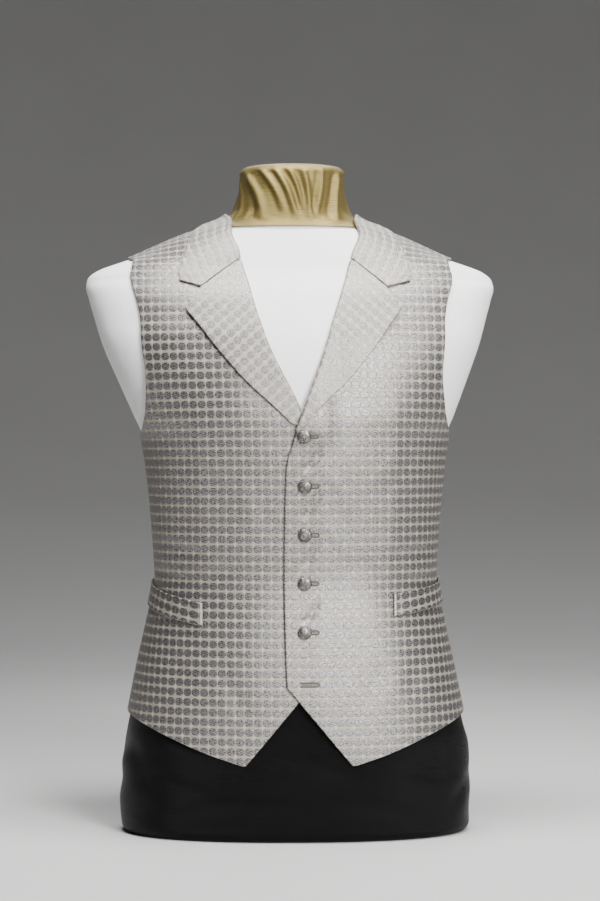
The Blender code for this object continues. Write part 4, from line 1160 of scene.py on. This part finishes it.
hole_paths = []
for hole_z in hole_heights:
    turns = np.radians(np.linspace(-90, 90, 9))
    round_from = hole_end - hole_half
    xs = np.concatenate((np.linspace(hole_start, round_from, 22), round_from + hole_half * np.cos(turns),
                         np.linspace(round_from, hole_start, 22)))
    zs = np.concatenate((np.full(22, -hole_half), hole_half * np.sin(turns), np.full(22, hole_half)))
    hole_paths.append(on_left_front(xs, hole_z + zs, 0.0))
buttonholes = sew("buttonhole_stitches", hole_paths, **{
    "Pitch": 0.00045, "Stitch Length": 0.0018, "Stitch Height": 0.0009, "Thread Radius": 0.00028,
    "Thread": grey_thread})
# A thin dark strip along each buttonhole's cut: painted shadow of the slit, not cloth.
slit_shadow_points, slit_shadow_faces = [], []
for hole_z in hole_heights:
    xs = np.linspace(hole_start, hole_end - 0.5, 15)
    half = slit_half * np.sqrt(np.clip(1 - ((xs - xs.mean()) / (0.51 * np.ptp(xs))) ** 8, 0.02, 1))
    loops = [on_left_front(xs, hole_z + turn * half, above)[0]
             for turn, above in ((-1.0, -0.25), (-0.8, 0.12), (0.8, 0.12), (1.0, -0.25))]
    start = len(slit_shadow_points) * 60
    slit_shadow_points.append(np.stack(loops, 1).reshape(-1, 3))
    for here in range(start, start + 56, 4):
        slit_shadow_faces += [[here + j, here + (j + 1) % 4, here + 4 + (j + 1) % 4, here + 4 + j] for j in range(4)]
    slit_shadow_faces += [[start, start + 1, start + 2, start + 3], [start + 59, start + 58, start + 57, start + 56]]
slit_shadow_points = np.concatenate(slit_shadow_points)
slit_shadows = new_piece("buttonhole_slit_shadows", slit_shadow_points, slit_shadow_faces, slit_shadow_points[:, (0, 2)], (painted_slit_shadow,))
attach(slit_shadows, "root")
tack_paths = []
for side in (1, -1):
    for across in (0.012, 0.985):
        up = np.linspace(0.06, 0.97, 12)
        angle, z = welt_place(side, np.full(12, across), up)
        rise = front_rise(side, angle, z) + 2 * cloth_wall + welt_gap
        tack_paths.append((cloth_point(side * angle, z, rise), form_normal(side * angle, z)))
welt_tacks = sew("welt_end_stitches", tack_paths, **{
    "Pitch": 0.00055, "Stitch Length": 0.0015, "Stitch Height": 0.0006, "Thread Radius": 0.0002,
    "Thread": light_thread})


# The buttons
# Five domed buttons covered in the brocade, gathered behind and sewn on by a short thread shank. Their
# brocade is a darker copy of the fronts', painted shade that sets them off against the cloth.

button_x, button_radius, button_height, button_gap = 6.3, 7.5, 5.2, 0.7
button_profile = np.array((
    (0.0, 0.0), (0.30, 0.0), (0.34, 0.04), (0.34, 0.18), (0.40, 0.21), (0.70, 0.19), (0.86, 0.21),
    (0.95, 0.28), (1.0, 0.36), (1.0, 0.42), (0.975, 0.50), (0.93, 0.59), (0.86, 0.68), (0.76, 0.775),
    (0.62, 0.865),
    (0.46, 0.93), (0.28, 0.975), (0.12, 0.996), (0.0, 1.0)))
# A darker copy of the brocade for the buttons: painted shade.
covered_brocade_painted_shade = brocade_finish(
    "brocade_covered_painted_shade", (0.075, 0.068, 0.057), (0.12, 0.11, 0.093), (0.045, 0.041, 0.038),
    (0.33, 0.32, 0.318), (0.05, 0.045, 0.04), (0.24, 0.224, 0.192), (0.8, 0.9))
for number, button_z in enumerate(button_heights):
    z = np.array(button_z)
    angle = angle_for(button_x, z)
    seat = cloth_point(angle, z, front_rise(1, angle, z) + cloth_wall + button_gap)
    axis = form_normal(angle, z)
    across = unit(np.cross((0.0, 0.0, 1.0), axis))
    up = np.cross(axis, across)
    turns = np.linspace(0, 2 * pi, 57)
    radius, height = button_profile[:, :1], button_profile[:, 1:]
    gather = 1 + 0.018 * np.sin(14 * turns + number) * np.exp(-((radius - 0.97) / 0.09) ** 2)
    ring = radius * button_radius * gather
    lean = 0.25 * np.sin(turns + 0.6 * number)
    points = (seat + ring[..., None] * (across * np.cos(turns)[:, None] + up * np.sin(turns)[:, None])
              + axis * (height * button_height + lean * radius * (height > 0.3))[..., None])
    shift = ((0.3, 0.2), (2.8, 3.2), (6.8, 5.9), (9.0, 0.8), (6.2, 3.9))[number]
    turn = 0.3 * sin(number * 1.9)
    flat = np.stack((ring * np.cos(turns + turn) * 1.06 + shift[0],
                     ring * np.sin(turns + turn) * 1.06 + shift[1]), -1)
    button = new_piece("covered_button_" + str(number + 1), points.reshape(-1, 3),
                       grid_faces(*points.shape[:2]), flat.reshape(-1, 2), (covered_brocade_painted_shade,))
    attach(button, "root")
    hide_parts("button_" + str(number + 1))


# The studio
# A pale floor that curves up behind, a tall soft light a little to the wearer's left of the front, one
# close above the shoulders, and one above and behind.

def studio_finish():
    made, shader, tree = finish_tree("pale_floor", 0.8)
    body = body_place(tree)
    tree.links.new(colour_mix(tree, noise(tree, body, 3.0), (0.47, 0.47, 0.47), (0.51, 0.51, 0.51)),
                   shader.inputs["Base Color"])
    return made


sweep = [(0.0, 0.0), (0.6, 0.0), (2.0, 0.0)] + [
    (2.0 + sin(t) * 4.5, 4.5 - cos(t) * 4.5) for t in np.radians(range(5, 91, 5))] + [(6.5, 6.0)]
studio_turns = np.linspace(0, 2 * pi, 49)
floor_points = np.array([[(reach * cos(t), reach * sin(t), height - 0.0005) for t in studio_turns]
                         for reach, height in sweep])
floor_mesh = bpy.data.meshes.new("floor")
floor_mesh.from_pydata(floor_points.reshape(-1, 3).tolist(), [], grid_faces(len(sweep), 49, turned=True))
floor_mesh.shade_smooth()
floor_mesh.materials.append(studio_finish())
floor = bpy.data.objects.new("floor", floor_mesh)
bpy.context.scene.collection.objects.link(floor)


def soft_light(name, azimuth, away, height, size, power, colour, aim=0.42):
    """Softbox, azimuth in degrees from the front towards the wearer's left, aimed at the waistcoat."""
    lamp = bpy.data.lights.new(name, "AREA")
    lamp.shape = "RECTANGLE"
    lamp.size, lamp.size_y = size
    lamp.energy = power
    lamp.color = colour
    made = bpy.data.objects.new(name, lamp)
    made.location = (away * sin(radians(azimuth)), -away * cos(radians(azimuth)), height)
    made.rotation_euler = (Vector((0.0, 0.0, aim)) - made.location).to_track_quat("-Z", "Y").to_euler()
    made.visible_camera = False
    bpy.context.scene.collection.objects.link(made)


soft_light("key", 21.0, 2.3, 1.3, (0.7, 1.8), 132.0, (1.0, 0.985, 0.97))
soft_light("top", 6.0, 0.34, 1.75, (1.1, 0.5), 58.0, (1.0, 0.99, 0.98), 0.6)
soft_light("back_fill", 174.0, 1.5, 2.2, (1.7, 1.0), 30.0, (1.0, 1.0, 1.0), 0.55)
world = bpy.data.worlds.new("studio")
world.use_nodes = True
world.node_tree.nodes["Background"].inputs[0].default_value = (0.5, 0.5, 0.51, 1.0)
world.node_tree.nodes["Background"].inputs[1].default_value = 0.02
bpy.context.scene.world = world
